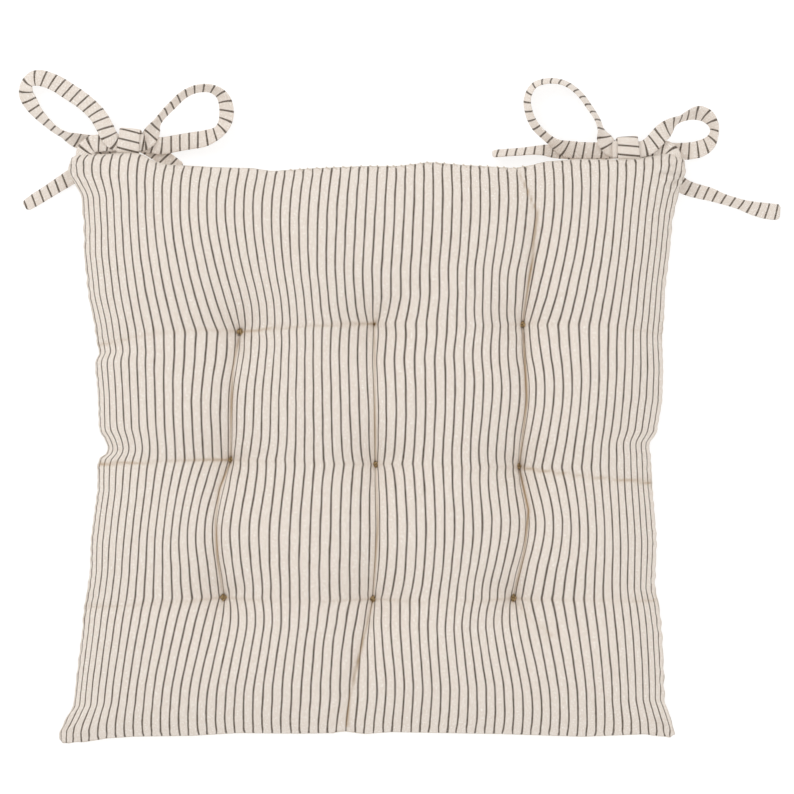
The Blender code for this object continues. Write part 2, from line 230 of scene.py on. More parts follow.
def make_ticking():
    recipe = Recipe("striped_ticking")
    cloth = recipe.add("ShaderNodeUVMap", uv_map=CLOTH_MAP).outputs[0]
    across, down, _ = recipe.add("ShaderNodeSeparateXYZ", (cloth,)).outputs
    across = recipe.math("MULTIPLY", across, 1000.0)
    down = recipe.math("MULTIPLY", down, 1000.0)
    drift = recipe.noise(recipe.place(recipe.math("MULTIPLY", across, 0.16), recipe.math("MULTIPLY", down, 0.05)), 1.0)
    across_true = recipe.math("ADD", across, recipe.stretch(drift, 0.2, 0.8, -0.35, 0.35, smooth=False))
    # yarns going over and under
    warp = recipe.math("SINE", recipe.math("MULTIPLY", across_true, math.pi / YARN))
    weft = recipe.math("SINE", recipe.math("MULTIPLY", down, math.pi / YARN))
    over = recipe.math("MULTIPLY", warp, weft)
    # the dark pair of yarns
    from_line = recipe.math("PINGPONG", recipe.math("ADD", across_true, 3000.0), STRIPE_GAP / 2)
    tooth = recipe.math("SINE", recipe.math("MULTIPLY", down, 2 * math.pi / 1.05))
    tooth_size = recipe.stretch(recipe.noise(recipe.place(across, recipe.math("MULTIPLY", down, 0.35)), 0.8), 0.35, 0.65, 0.03, 0.26)
    edge = recipe.math("ADD", from_line, recipe.math("MULTIPLY", tooth, tooth_size))
    line = recipe.stretch(edge, 0.49, 0.66, 1.0, 0.0)
    wear_place = recipe.place(recipe.math("MULTIPLY", across, 0.4), recipe.math("MULTIPLY", down, 1.4))
    wear = recipe.stretch(recipe.noise(wear_place, 1.0, 3.0), 0.30, 0.62, 0.80, 1.0)
    line = recipe.math("MULTIPLY", line, wear)
    beat = recipe.math("SINE", recipe.math("MULTIPLY", down, 2 * math.pi / (2 * YARN)))
    line = recipe.math("MULTIPLY", line, recipe.stretch(beat, -0.9, 0.1, 0.80, 1.0))
    # uneven cream yarns
    pick = recipe.noise(recipe.place(recipe.math("MULTIPLY", across, 0.22), recipe.math("MULTIPLY", down, 2.2)), 1.0)
    end = recipe.noise(recipe.place(recipe.math("MULTIPLY", across, 2.4), recipe.math("MULTIPLY", down, 0.16)), 1.0)
    slub = recipe.math("ADD", pick, end)
    ground = recipe.mix(recipe.stretch(slub, 0.75, 1.3), WARM_CREAM, CREAM)
    # painted shade: the weave's hollows, where the yarns pass under, darken towards brown
    grain = recipe.stretch(recipe.noise(recipe.place(across, down), 1.25, 2.0), 0.34, 0.66)
    yarn_lit_share = recipe.math("ADD", recipe.stretch(over, -0.8, 0.5, 0.42, 1.0), recipe.math("MULTIPLY", grain, 0.10))
    ground = recipe.mix(recipe.math("SUBTRACT", 1.0, yarn_lit_share), ground, (0.42, 0.33, 0.24, 1))
    # painted highlights: near-white flecks scattered on the yarns
    highlight_speck = recipe.stretch(recipe.noise(recipe.place(across, down), 0.9, 1.0), 0.56, 0.68)
    ground = recipe.mix(recipe.math("MULTIPLY", highlight_speck, 0.60), ground, HIGHLIGHT_FLECK)
    colour = recipe.mix(line, ground, CHARCOAL)
    # painted shade: the fold attribute darkens folds and tuft dimples towards tan
    fold = recipe.add("ShaderNodeAttribute", attribute_name="fold").outputs["Fac"]
    colour = recipe.mix(recipe.stretch(fold, 0.0, 1.0, 0.0, 0.85), colour, FOLD_SHADE_TAN)
    recipe.feed(recipe.shader.inputs["Base Color"], colour)
    recipe.shader.inputs["Roughness"].default_value = 0.92
    recipe.shader.inputs["Specular IOR Level"].default_value = 0.15
    recipe.shader.inputs["Sheen Weight"].default_value = 0.12
    recipe.shader.inputs["Sheen Roughness"].default_value = 0.5
    relief = recipe.math("ADD", over, recipe.math("MULTIPLY", slub, 1.6))
    recipe.bump(relief, 0.35, 0.00012)
    return recipe.material


ticking = make_ticking()
print("ticking has a line every", STRIPE_GAP, "mm and yarns", YARN, "mm apart")

# %% [markdown]
# ## The ties
#
# Each tie is a rouleau: a tube of ticking turned right side out and pressed
# flat, 11 mm wide, with its stripes running across it.  A tie is drawn out as
# one section along a route, in the way that cloth tape runs, flat here and on
# its edge there.  The map on it counts metres along and round the tie, so that
# the stripes and the weave follow every turn.

# %% Routes of the ties
# x, y, z in millimetres and lean in degrees: 0 lies flat, 90 stands on its edge.
TIE_WIDTH = 11.0 * MM
TIE_THICKNESS = 1.8 * MM
TIE_ROUTES = {
    "tie_left_a": (
        (-190.0, 190.4, 8.45, 0), (-189.4, 195.4, 8.4, 0), (-186.6, 199.2, 8.3, 0),
        (-181.5, 200.8, 8.1, 0), (-168.5, 201.0, 7.5, 0), (-161.2, 201.0, 7.5, 0),
        (-154.0, 201.0, 7.5, 0), (-149.5, 203.2, 7.5, 0), (-146.3, 208.0, 7.5, 20),
        (-143.3, 214.0, 7.2, 65), (-139.1, 219.7, 6.8, 70), (-133.3, 225.6, 6.8, 70),
        (-127.4, 231.4, 6.8, 70), (-120.9, 235.3, 6.8, 70), (-114.4, 236.9, 6.8, 68),
        (-107.9, 236.6, 6.8, 66), (-102.0, 233.5, 6.6, 55), (-98.5, 227.5, 6.2, 35),
        (-97.8, 219.7, 5.6, 25), (-99.5, 213.0, 5.4, 35), (-103.9, 207.8, 5.4, 40),
        (-112.5, 204.1, 5.2, 15), (-120.3, 202.8, 5.0, 0), (-128.0, 201.5, 5.0, 0),
        (-139.1, 199.6, 5.0, 0), (-147.0, 200.0, 5.2, 0), (-154.0, 201.0, 5.4, 0),
        (-161.2, 201.0, 5.4, 0), (-168.5, 201.0, 5.4, 0), (-176.0, 197.3, 5.2, 0),
        (-184.0, 190.6, 4.4, 0), (-193.0, 183.6, 3.0, 0), (-201.5, 178.1, 1.6, 0),
        (-208.7, 173.6, 1.3, 0), (-215.8, 169.0, 1.3, 0), (-223.0, 164.5, 1.3, 0),
        (-230.1, 159.9, 1.3, 0)),
    "tie_left_b": (
        (-190.0, 190.4, 10.55, 0), (-189.4, 195.4, 10.5, 0), (-186.6, 199.2, 10.4, 0),
        (-181.5, 200.8, 10.2, 0), (-168.5, 201.0, 9.6, 0), (-161.2, 201.0, 9.6, 0),
        (-152.6, 201.0, 9.6, 0), (-151.8, 201.0, 9.9, 0), (-151.5, 201.0, 10.65, 0),
        (-151.8, 201.0, 11.4, 0), (-152.6, 201.0, 11.7, 0), (-161.2, 201.0, 11.7, 0),
        (-169.4, 201.1, 11.7, 0), (-174.0, 205.2, 12.4, 0), (-177.2, 211.8, 12.2, 0),
        (-182.6, 220.2, 10.5, 0), (-191.1, 228.2, 8.5, 0), (-201.0, 235.0, 7.0, 0),
        (-210.6, 240.8, 6.0, 0), (-221.0, 243.8, 5.6, 12), (-227.6, 241.0, 5.6, 40),
        (-229.0, 234.5, 5.4, 32), (-226.5, 228.5, 5.2, 25), (-220.4, 220.0, 6.0, 50),
        (-210.6, 210.6, 6.8, 68), (-204.0, 206.6, 6.2, 66), (-198.0, 203.8, 4.8, 38),
        (-191.0, 201.8, 3.0, 12), (-183.0, 200.8, 2.3, 0), (-175.0, 200.9, 2.7, 0),
        (-168.5, 201.0, 3.3, 0), (-161.2, 201.0, 3.3, 0), (-154.0, 201.0, 3.3, 0),
        (-146.0, 197.0, 2.4, 0), (-137.0, 190.6, 1.5, 0), (-128.0, 184.5, 1.3, 0)),
    "tie_right_a": (
        (193.0, 190.4, 8.45, 0), (192.4, 193.3, 8.4, 0), (190.4, 195.4, 8.3, 0),
        (187.0, 196.3, 8.2, 0), (171.8, 196.3, 7.5, 0), (164.5, 196.3, 7.5, 0),
        (157.2, 196.3, 7.5, 0), (152.6, 198.4, 7.5, 0), (149.4, 203.0, 7.5, 15),
        (147.0, 209.5, 7.2, 65), (144.5, 216.5, 6.8, 70), (139.1, 224.9, 6.8, 70),
        (132.6, 233.4, 6.8, 70), (123.5, 239.9, 6.8, 70), (113.1, 241.5, 6.8, 70),
        (103.4, 238.6, 6.8, 70), (98.9, 230.1, 6.8, 68), (100.0, 220.4, 6.8, 68),
        (104.0, 212.0, 6.9, 68), (110.5, 205.4, 7.6, 68), (116.5, 200.8, 8.3, 60),
        (124.0, 197.4, 6.6, 22), (134.0, 196.2, 5.2, 0), (146.0, 196.2, 5.1, 0),
        (157.2, 196.3, 5.4, 0), (164.5, 196.3, 5.4, 0), (171.8, 196.3, 5.4, 0),
        (178.5, 193.3, 5.3, 0), (185.5, 187.0, 4.7, 0), (193.0, 179.0, 3.2, 0),
        (202.0, 172.6, 1.8, 0), (210.6, 169.7, 1.4, 0), (218.4, 167.7, 2.2, 10),
        (226.9, 164.5, 4.2, 35), (236.6, 161.5, 4.0, 30), (246.4, 158.6, 2.4, 12),
        (256.1, 156.7, 1.4, 0), (264.6, 156.0, 1.3, 0)),
    "tie_right_b": (
        (193.0, 190.4, 10.55, 0), (192.4, 193.3, 10.5, 0), (190.4, 195.4, 10.4, 0),
        (187.0, 196.3, 10.3, 0), (171.8, 196.3, 9.6, 0), (164.5, 196.3, 9.6, 0),
        (155.9, 196.3, 9.6, 0), (155.1, 196.3, 9.9, 0), (154.8, 196.3, 10.65, 0),
        (155.1, 196.3, 11.4, 0), (155.9, 196.3, 11.7, 0), (164.5, 196.3, 11.7, 0),
        (172.6, 196.4, 11.7, 0), (178.8, 199.2, 12.6, 0), (185.9, 206.6, 13.4, 0),
        (191.1, 211.3, 11.6, 35), (197.0, 215.6, 8.8, 72), (204.1, 219.1, 7.2, 60),
        (210.6, 220.5, 6.8, 38), (216.5, 218.4, 6.6, 42), (220.5, 213.0, 6.8, 60),
        (220.9, 207.0, 6.6, 62), (217.8, 201.0, 5.8, 36), (212.0, 197.4, 4.2, 10),
        (204.1, 195.9, 2.8, 0), (195.0, 195.9, 2.1, 0), (185.0, 196.1, 2.2, 0),
        (171.8, 196.3, 3.3, 0), (164.5, 196.3, 3.3, 0), (157.2, 196.3, 3.3, 0),
        (146.0, 195.4, 2.0, 0), (134.0, 195.0, 1.4, 0), (119.6, 195.7, 1.5, 0),
        (106.6, 196.3, 4.9, 42), (93.6, 195.3, 4.9, 45), (80.6, 194.4, 4.7, 40),
        (76.0, 193.7, 4.6, 38)),
}
# the knots sit close against the pad's back edge
BOW_SHIFTS = {"left": -0.7, "right": -0.5}
for name, route in TIE_ROUTES.items():
    shift = BOW_SHIFTS[name.split("_")[1]]
    moved = [(x, y + shift, z, lean) for x, y, z, lean in route]
    root_x, root_y, root_z, root_lean = moved[0]
    moved[0] = (root_x, root_y + 1.8, root_z - 0.6, root_lean)
    TIE_ROUTES[name] = tuple(moved)
print(len(TIE_ROUTES), "ties to make")

# %% [markdown]
# The route's points are joined by one smooth curve, and a frame is worked out
# at each station along it: across the tie, out of its face, and along it.  The
# sideways direction is carried on through a fold, where it would otherwise
# flip.

# %% Stations and frames along a route


def smooth_route(route, steps):
    points = [Vector((x * MM, y * MM, z * MM, lean)) for x, y, z, lean in route]
    points = [2 * points[0] - points[1], *points, 2 * points[-1] - points[-2]]
    stations = []
    for before, start, end, after in zip(points, points[1:], points[2:], points[3:]):
        for step in range(steps):
            t = step / steps
            stations.append(0.5 * (2 * start + (end - before) * t
                                   + (2 * before - 5 * start + 4 * end - after) * t * t
                                   + (3 * start - before - 3 * end + after) * t ** 3))
    stations.append(points[-2])
    return stations


def even_stations(stations, spacing):
    """The same curve with stations a set distance apart."""
    rows = np.array([list(station) for station in stations])
    gaps = np.linalg.norm(np.diff(rows[:, :3], axis=0), axis=1)
    along = np.concatenate([[0.0], np.cumsum(gaps)])
    count = max(8, round(along[-1] / spacing))
    wanted = np.linspace(0, along[-1], count + 1)
    return np.stack([np.interp(wanted, along, rows[:, k]) for k in range(4)], axis=1), wanted


def tape_frames(rows):
    places = [Vector(row[:3]) for row in rows]
    frames = []
    side = None
    for index, place in enumerate(places):
        forward = (places[min(index + 1, len(places) - 1)] - places[max(index - 1, 0)]).normalized()
        level = Vector((-forward.y, forward.x, 0.0))
        if level.length < 0.3:
            level = side.copy()
        level = (level - forward * level.dot(forward)).normalized()
        if side is not None and level.dot(side) < 0:
            level = -level
        side = level
        across = Matrix.Rotation(math.radians(rows[index][3]), 3, forward) @ level
        turned = Matrix((across, forward.cross(across), forward)).transposed().to_4x4()
        turned.translation = place
        frames.append(turned)
    return frames


# %% [markdown]
# A pressed tube of cloth isn't a slab: its two folded edges are thin and round
# and its middle is a little puffed.  So the section is a flattened ring, drawn
# out with the extrude operator.  Its height breathes slightly along the tie,
# as hand-turned ties do.

# %% Drawing a section along stations
TAPE_SIDES = 20
TIP_ROUNDING = 3.0 * MM
SLANT = 0.16


def tape_section(width, thickness):
    """The section's points, and how far round the tie each one is."""
    section = []
    for step in range(TAPE_SIDES + 1):
        turn = 2 * math.pi * step / TAPE_SIDES
        x = math.copysign(abs(math.cos(turn)) ** 0.55, math.cos(turn)) * width / 2
        y = math.copysign(abs(math.sin(turn)) ** 0.75, math.sin(turn)) * thickness / 2
        section.append(Vector((x, y, 0.0)))
    gaps = [(b - a).length for a, b in zip(section, section[1:])]
    return section, [sum(gaps[:step]) for step in range(TAPE_SIDES + 1)]


def breathing(share, length, tail):
    """How much wider and fuller the tie is here; its tip is rounded off."""
    if tail is None:
        return 1 + 0.04 * math.sin(share * 4 * math.pi), 1.0
    wave = math.sin(share * length * 190) * 0.5 + math.sin(share * length * 83 + 1.3) * 0.5
    left = (1 - share) * length
    width = (1 + 0.035 * wave) * float(np.interp(left / MM, *zip(*tail)))
    fullness = 1 + 0.14 * wave
    if left < TIP_ROUNDING:
        width *= 0.62 + 0.38 * math.sqrt(1 - (1 - left / TIP_ROUNDING) ** 2)
        fullness *= 0.55 + 0.45 * left / TIP_ROUNDING
    return width, fullness


def draw_tape(name, frames, along, width, thickness, tail=None, stagger=0.0):
    """A tie along its frames; without a tail it is a closed loop."""
    bm = bmesh.new()
    cloth = bm.loops.layers.uv.new(CLOTH_MAP)
    step_of = bm.verts.layers.int.new("step")
    station_of = bm.verts.layers.int.new("station")
    section, way_round = tape_section(width, thickness)

    def place(vertices, index):
        share = along[index] / along[-1]
        wide, full = breathing(share, along[-1], tail)
        for vertex in vertices:
            spot = section[vertex[step_of]]
            vertex.co = frames[index] @ Vector((spot.x * wide, spot.y * full, 0.0))
            vertex[station_of] = index

    circle = bmesh.ops.create_circle(bm, cap_ends=False, segments=TAPE_SIDES, radius=1.0)
    for vertex in circle["verts"]:
        turn = math.atan2(vertex.co.y, vertex.co.x) / (2 * math.pi)
        vertex[step_of] = round(turn * TAPE_SIDES) % TAPE_SIDES
    place(circle["verts"], 0)
    ring = bm.edges[:]
    first_ring = ring
    for index in range(1, len(frames)):
        grown = bmesh.ops.extrude_edge_only(bm, edges=ring)["geom"]
        fresh = {part for part in grown if isinstance(part, bmesh.types.BMVert)}
        ring = [part for part in grown if isinstance(part, bmesh.types.BMEdge) and fresh.issuperset(part.verts)]
        place(fresh, index)
    if tail is not None:
        bmesh.ops.holes_fill(bm, edges=first_ring + ring, sides=TAPE_SIDES)
    for face in bm.faces:
        steps = [corner.vert[step_of] for corner in face.loops]
        wraps = max(steps) - min(steps) > TAPE_SIDES // 2 and len(steps) == 4
        for corner, step in zip(face.loops, steps):
            way = way_round[TAPE_SIDES if wraps and step == 0 else step]
            back = stagger if way > way_round[TAPE_SIDES // 2] - 1e-9 else 0.0
            corner[cloth].uv = (along[corner.vert[station_of]] + back + SLANT * way, way)
    if tail is None:
        bmesh.ops.remove_doubles(bm, verts=bm.verts[:], dist=1e-6)
    bmesh.ops.recalc_face_normals(bm, faces=bm.faces[:])
    return piece_from(bm, name)


def piece_from(bm, name):
    """A smooth piece at the origin, with its place in its mesh."""
    mesh = bpy.data.meshes.new(name)
    bm.to_mesh(mesh)
    bm.free()
    mesh.shade_smooth()
    piece = bpy.data.objects.new(name, mesh)
    bpy.context.scene.collection.objects.link(piece)
    return piece


# %% [markdown]
# The visible tie starts a few millimetres out from the seam, because a short
# tab joins it to the pad there.

# %% The four ties
TIE_STEP = 1.1 * MM
# millimetres from the tip, and the tie's width there as a share of the whole
TAILS = {
    "tie_left_a": ((0, 0.66), (8, 0.78), (40, 0.90), (58, 1)),
    "tie_left_b": ((0, 0.80), (20, 1)),
    "tie_right_a": ((0, 0.98), (10, 0.92), (26, 0.68), (44, 0.76), (62, 0.92), (78, 1)),
    "tie_right_b": ((0, 0.56), (16, 0.66), (48, 0.86), (68, 1)),
}
TAB_REACH = 3.0 * MM
STAGGER = 2.6 * MM
ties = {}
for name, route in TIE_ROUTES.items():
    rows, along = even_stations(smooth_route(route, 12), TIE_STEP)
    keep = along >= TAB_REACH
    rows, along = rows[keep], along[keep] - TAB_REACH
    tie = draw_tape(name + "_tape", tape_frames(rows), along, TIE_WIDTH, TIE_THICKNESS, TAILS[name], STAGGER)
    tie.data.materials.append(ticking)
    bow = "left_bow" if "left" in name else "right_bow"
    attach(tie, bow)
    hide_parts(name)
    ties[name] = tie
    print(name, "runs", round(along[-1] * 1000), "mm")

# %% [markdown]
# ## The knots
#
# The turn that holds a bow is the same flat tie, drawn tight round the five
# layers inside it.  A closed loop of the tape section stands for it, a little
# askew as a pulled knot is.

# %% Knots
KNOT_SPAN = 14.0 * MM
KNOT_CLOTH = 1.5 * MM
KNOT_FULLNESS = {"knot_left": 1.8, "knot_right": 0.8}


def knot_frames(low, high, skew, count):
    """Frames round a rounded box, its corners eased by a superellipse."""
    middle = (low + high) / 2
    half_y = (high.y - low.y) / 2 - KNOT_CLOTH / 2
    half_z = (high.z - low.z) / 2 - KNOT_CLOTH / 2
    turn_of = Matrix.Rotation(skew, 4, "Z")
    places = []
    for step in range(count + 1):
        turn = -2 * math.pi * step / count
        y = math.copysign(abs(math.cos(turn)) ** 0.5, math.cos(turn)) * half_y
        z = math.copysign(abs(math.sin(turn)) ** 0.5, math.sin(turn)) * half_z
        places.append(Vector((0, y, z)))
    frames = []
    for step, place in enumerate(places):
        ahead, behind = places[(step + 1) % count], places[(step - 1) % count]
        forward = (ahead - behind).normalized()
        across = Vector((1, 0, 0))
        turned = Matrix((across, forward.cross(across), forward)).transposed().to_4x4()
        turned.translation = place
        frames.append(Matrix.Translation(middle) @ turn_of @ turned)
    lengths = [(b - a).length for a, b in zip(places, places[1:])]
    return frames, [sum(lengths[:step]) for step in range(count + 1)]


def make_knot(node, bow, skew):
    low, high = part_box(node)
    shift = Vector((0, BOW_SHIFTS[node.split("_")[1]] * MM, 0))
    fuller = Vector((0, KNOT_FULLNESS[node] * MM, 0))
    frames, along = knot_frames(Vector(low) + shift, Vector(high) + shift + fuller, skew, 96)
    knot = draw_tape(node + "_turn", frames, along, KNOT_SPAN, KNOT_CLOTH)
    knot.data.materials.append(ticking)
    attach(knot, bow)
    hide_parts(node)
    return knot


knots = [make_knot("knot_left", "left_bow", math.radians(-5)), make_knot("knot_right", "right_bow", math.radians(4))]
print("knots are", [round(v * 1000, 1) for v in knots[0].dimensions], "mm")

# %% [markdown]
# ## The pad's cloth
#
# Both panels are cut to the same flat size, a little larger than the finished
# pad, because stuffing takes the cloth up and draws the edges in.  First every
# point of the flat cloth is given its place in the finished plan: the edges
# follow the pulled-in outline, and the twine and the deep folds hold nine
# spots and three lines.  In between the cloth spreads evenly.

# %% The finished outline, in millimetres
FLAT_SIZE = (416.0 * MM, 400.0 * MM)
CELLS = 96
NOTCH_REACH = 0.07
EAR = np.array((9.0, 5.0)) * MM
LEFT_EDGE = ((-207, -191.8), (-206.1, -182.7), (-197, -166.4), (-194.7, -145.6), (-191.1, -118.3),
             (-189.8, -102), (-185.9, -79.3), (-185.3, -58.5), (-181, -25.4), (-181, -6.5), (-174.2, -1.3),
             (-175.5, 5.9), (-180, 13), (-180.7, 36.4), (-182.7, 57.2), (-179.4, 63.7), (-181.4, 68.9),
             (-183.3, 83.2), (-186.8, 99.5), (-189.8, 126.8), (-190.1, 144.3), (-191.8, 165.8),
             (-199.4, 178.8), (-200.3, 185.5), (-199.6, 190.2), (-197, 192.6))
RIGHT_EDGE = ((195, -188.2), (193.7, -179.4), (187.9, -163.2), (187.2, -141.1), (185.9, -117),
              (184, -100.1), (181.4, -89.1), (182.4, -58.5), (179.7, -25.4), (178.8, -4.6), (177.2, 3.9),
              (182.3, 11), (185.9, 31.9), (186.6, 52), (185.9, 72.2), (187.2, 84.5), (187.9, 104),
              (191.1, 130), (193.1, 150.8), (196.3, 164.5), (201.5, 180.7), (202.2, 188.5))
FRONT_EDGE = ((-207, -191.8), (-191.1, -190.5), (-174.9, -187.9), (-157.3, -186.6), (-120.3, -185.9),
              (-90.4, -184), (-49.4, -184.3), (-27.3, -184), (-21.1, -182.7), (-7.8, -184.6), (9.8, -183.3),
              (80.6, -184.6), (135.2, -186.6), (175.5, -185.3), (195, -188.2))
BACK_EDGE = ((-197, 192.8), (-190, 193.2), (-178, 192.8), (-167, 193.4), (-158, 193.8), (-152, 192.2),
             (-146.5, 189.0), (-138, 186.0), (-126.1, 185.3), (-104.7, 184), (-80, 183.3),
             (-68.3, 181.4), (-39, 183.3), (-7.8, 184.6), (13.7, 184.6), (35.1, 187.2), (57.9, 185.2),
             (76, 184.2), (90, 183.4), (100, 185), (110.5, 187.6), (132, 189.2), (150, 189.0), (169.7, 189.4), (180, 191.2),
             (187, 192.8), (196, 192.4), (202.2, 188.5))
TUFT_LINES = (24, 48, 72)
TUFT_PICKS = (23, 46, 69)
TUFTS = (((-98.8, -95.6), (-2.0, -96.5), (89.3, -96.2)),
         ((-94.3, -6.2), (-0.3, -9.1), (93.0, -10.7)),
         ((-88.4, 76.7), (-1.0, 81.9), (95.3, 81.3)))
# shares along the cloth between which each line of tufts has closed into a fold
FOLD_SPANS = ((0.20, 0.76), (0.10, 0.76), (0.20, 0.80))
FOLD_REACH = 6.5 * MM
EDGE_TURN = 11.0 * MM
HELD_ON_FOLDS = ((24, ((-92.5, 35), (-103, -50))), (48, ((-0.7, 36), (0.5, -50))), (46, ((-11.7, -136.5),)),
                 (45, ((-17.0, -168),)), (72, ((98.5, 35), (98.5, -45))))
# line of the cloth, then the places that its fold passes through
FOLDS = (
    (24, ((-88.4, 76.7), (-92.5, 52), (-93.5, 26), (-94.3, -6.2), (-101.5, -25), (-103.4, -45.5),
          (-102.5, -70), (-98.8, -95.6))),
    (48, ((-1, 81.9), (-0.7, 36), (-0.3, -9.1), (1.3, -48), (-2, -96.5), (-11.7, -136.5), (-17.6, -162.5),
          (-18.2, -176))),
    (72, ((92.3, 182), (104.7, 152.8), (100.1, 117), (95.3, 81.3), (97.5, 32.5), (93, -10.7), (98.8, -39),
          (96, -65), (89.3, -96.2))),
)


def along_edge(edge, shares):
    """Places that lie these shares of the way along an edge."""
    places = np.array(edge) * MM
    gaps = np.linalg.norm(np.diff(places, axis=0), axis=1)
    reached = np.concatenate([[0.0], np.cumsum(gaps)]) / gaps.sum()
    return np.stack([np.interp(shares, reached, places[:, axis]) for axis in (0, 1)], axis=-1)


def eased_edge(edge, shares):
    """The edge without its notches and ears: a smooth bow between two ends."""
    fine = np.linspace(0, 1, 201)
    places = along_edge(edge, fine)
    first, last = (places[end] - np.sign(places[end]) * EAR for end in (0, -1))
    bows = np.stack([fine * (1 - fine) * fine ** power for power in range(3)], axis=1)
    sizes = np.linalg.lstsq(bows, places - first - fine[:, None] * (last - first), rcond=None)[0]
    flat = np.ravel(shares)
    bent = np.stack([flat * (1 - flat) * flat ** power for power in range(3)], axis=1) @ sizes
    return (first + flat[:, None] * (last - first) + bent).reshape(*np.shape(shares), 2)


def patch(edge_at, s, t, near):
    """A patch that meets all four edges; near(share) is an edge's pull."""
    left, right = edge_at(LEFT_EDGE, t), edge_at(RIGHT_EDGE, t)
    front, back = edge_at(FRONT_EDGE, s), edge_at(BACK_EDGE, s)
    pull_l, pull_r, pull_f, pull_b = (near(share)[..., None] for share in (s, 1 - s, t, 1 - t))
    one, none = np.ones_like(s), np.zeros_like(s)
    corners = (pull_l * pull_f * edge_at(FRONT_EDGE, none) + pull_r * pull_f * edge_at(FRONT_EDGE, one)
               + pull_l * pull_b * edge_at(BACK_EDGE, none) + pull_r * pull_b * edge_at(BACK_EDGE, one))
    return pull_f * front + pull_b * back + pull_l * left + pull_r * right - corners


def spread(crowding):
    """Turns the crowding of the cloth along each row into places along it."""
    spacing = 1 - crowding
    steps = 0.5 * (spacing[1:] + spacing[:-1])
    reached = np.concatenate([np.zeros((1, steps.shape[1])), np.cumsum(steps, axis=0)])
    return reached / reached[-1]


def crowded_shares():
    """Where each thread lies in plan, as shares of the way across.

    The cloth turns down at its edges and dives into the folds, so seen from
    above its threads lie closer together there.
    """
    even = np.linspace(0, 1, CELLS + 1)
    s, t = np.meshgrid(even, even, indexing="ij")
    edge_s = 0.62 * np.exp(-np.minimum(s, 1 - s) * FLAT_SIZE[0] / EDGE_TURN)
    edge_t = 0.62 * np.exp(-np.minimum(t, 1 - t) * FLAT_SIZE[1] / EDGE_TURN)
    for line, (low, high) in zip(TUFT_LINES, FOLD_SPANS):
        gap = (s - line / CELLS) * FLAT_SIZE[0]
        on = np.clip((t - low) / 0.10, 0, 1) * np.clip((high - t) / 0.10, 0, 1)
        edge_s = np.maximum(edge_s, 0.60 * on * np.exp(-(gap / FOLD_REACH) ** 2))
    return spread(edge_s), spread(edge_t.T).T


def stretched_over_edges(s, t):
    """Eased edges shape the whole cloth; their notches stay near the seam."""
    def notches(edge, shares):
        return along_edge(edge, shares) - eased_edge(edge, shares)

    return (patch(eased_edge, s, t, lambda share: 1 - share)
            + patch(notches, s, t, lambda share: np.exp(-(share / NOTCH_REACH) ** 1.5)))


def held_places():
    """Cloth places that are held, as shares in plan, and where each is held."""
    rows_at = (-188.0, -96.0, -9.0, 80.0, 188.0)
    picks_at = (0, *TUFT_PICKS, CELLS)
    shares, places = [], []

    def hold(line, pick, x, y):
        shares.append((grid_s[line, pick], grid_t[line, pick]))
        places.append((x * MM, y * MM))

    for line, places_on_line in HELD_ON_FOLDS:
        for x, y in places_on_line:
            hold(line, round(float(np.interp(y, rows_at, picks_at))), x, y)
    for pick, row in zip(TUFT_PICKS, TUFTS):
        for line, (x, y) in zip(TUFT_LINES, row):
            hold(line, pick, x, y)
    return np.array(shares), np.array(places)


def plan_of_cloth(s, t):
    """The finished plan: the edges' patch, bent to pass every held place."""
    held, places = held_places()
    rim = np.linspace(0, 1, 17)
    zero, one = np.zeros(17), np.ones(17)
    border = np.concatenate([np.stack(pair, axis=1) for pair in ((rim, zero), (rim, one), (zero, rim), (one, rim))])
    centres = np.concatenate([held, border])
    wanted = np.concatenate([places - stretched_over_edges(held[:, 0], held[:, 1]), np.zeros((len(border), 2))])
    reach = 34.0 * MM
    size = np.array(FLAT_SIZE)

    def pull(first, second):
        gap = (first[:, None, :] - second[None, :, :]) * size
        return np.exp(-(gap ** 2).sum(-1) / (2 * reach ** 2))

    weights = np.linalg.solve(pull(centres, centres) + 0.02 * np.eye(len(centres)), wanted)
    spots = np.stack([s.ravel(), t.ravel()], axis=1)
    moved = (pull(spots, centres) @ weights).reshape(*s.shape, 2)
    room = np.clip(np.minimum.reduce([s, 1 - s, t, 1 - t]) / 0.06, 0, 1)[..., None]
    return stretched_over_edges(s, t) + moved * room


grid_s, grid_t = crowded_shares()
plan = plan_of_cloth(grid_s, grid_t)
print("plan spans", np.round(plan.reshape(-1, 2).min(0), 3), np.round(plan.reshape(-1, 2).max(0), 3))

# %% [markdown]
# The two panels start at a plain stuffed height, thick in the middle of each
# square and pulled down at the twine.  The seam runs round at about the
# middle of the pad's side and sinks towards the corners, which are thin.

# %% Starting heights
SEAM_HEIGHT = 20.0 * MM
CORNER_HEIGHT = 9.5 * MM
CREST_HEIGHT = 44.0 * MM
BASE_HEIGHT = 1.5 * MM


def fold_distance(route, x, y):
    """How far each place lies from a fold, how far along, and the fold there."""
    points = np.array(route) * MM
    nearest, reached = np.full(x.shape, 1.0), np.zeros(x.shape)
    on_fold = np.zeros((*x.shape, 2))
    done = 0.0
    for start, end in zip(points, points[1:]):
        run = end - start
        length = np.linalg.norm(run)
        share = np.clip(((x - start[0]) * run[0] + (y - start[1]) * run[1]) / length ** 2, 0, 1)
        gap = np.hypot(x - start[0] - share * run[0], y - start[1] - share * run[1])
        closer = gap < nearest
        nearest[closer] = gap[closer]
        reached[closer] = (done + share * length)[closer]
        on_fold[closer] = (start + share[..., None] * run)[closer]
        done += length
    return nearest, reached / done, on_fold


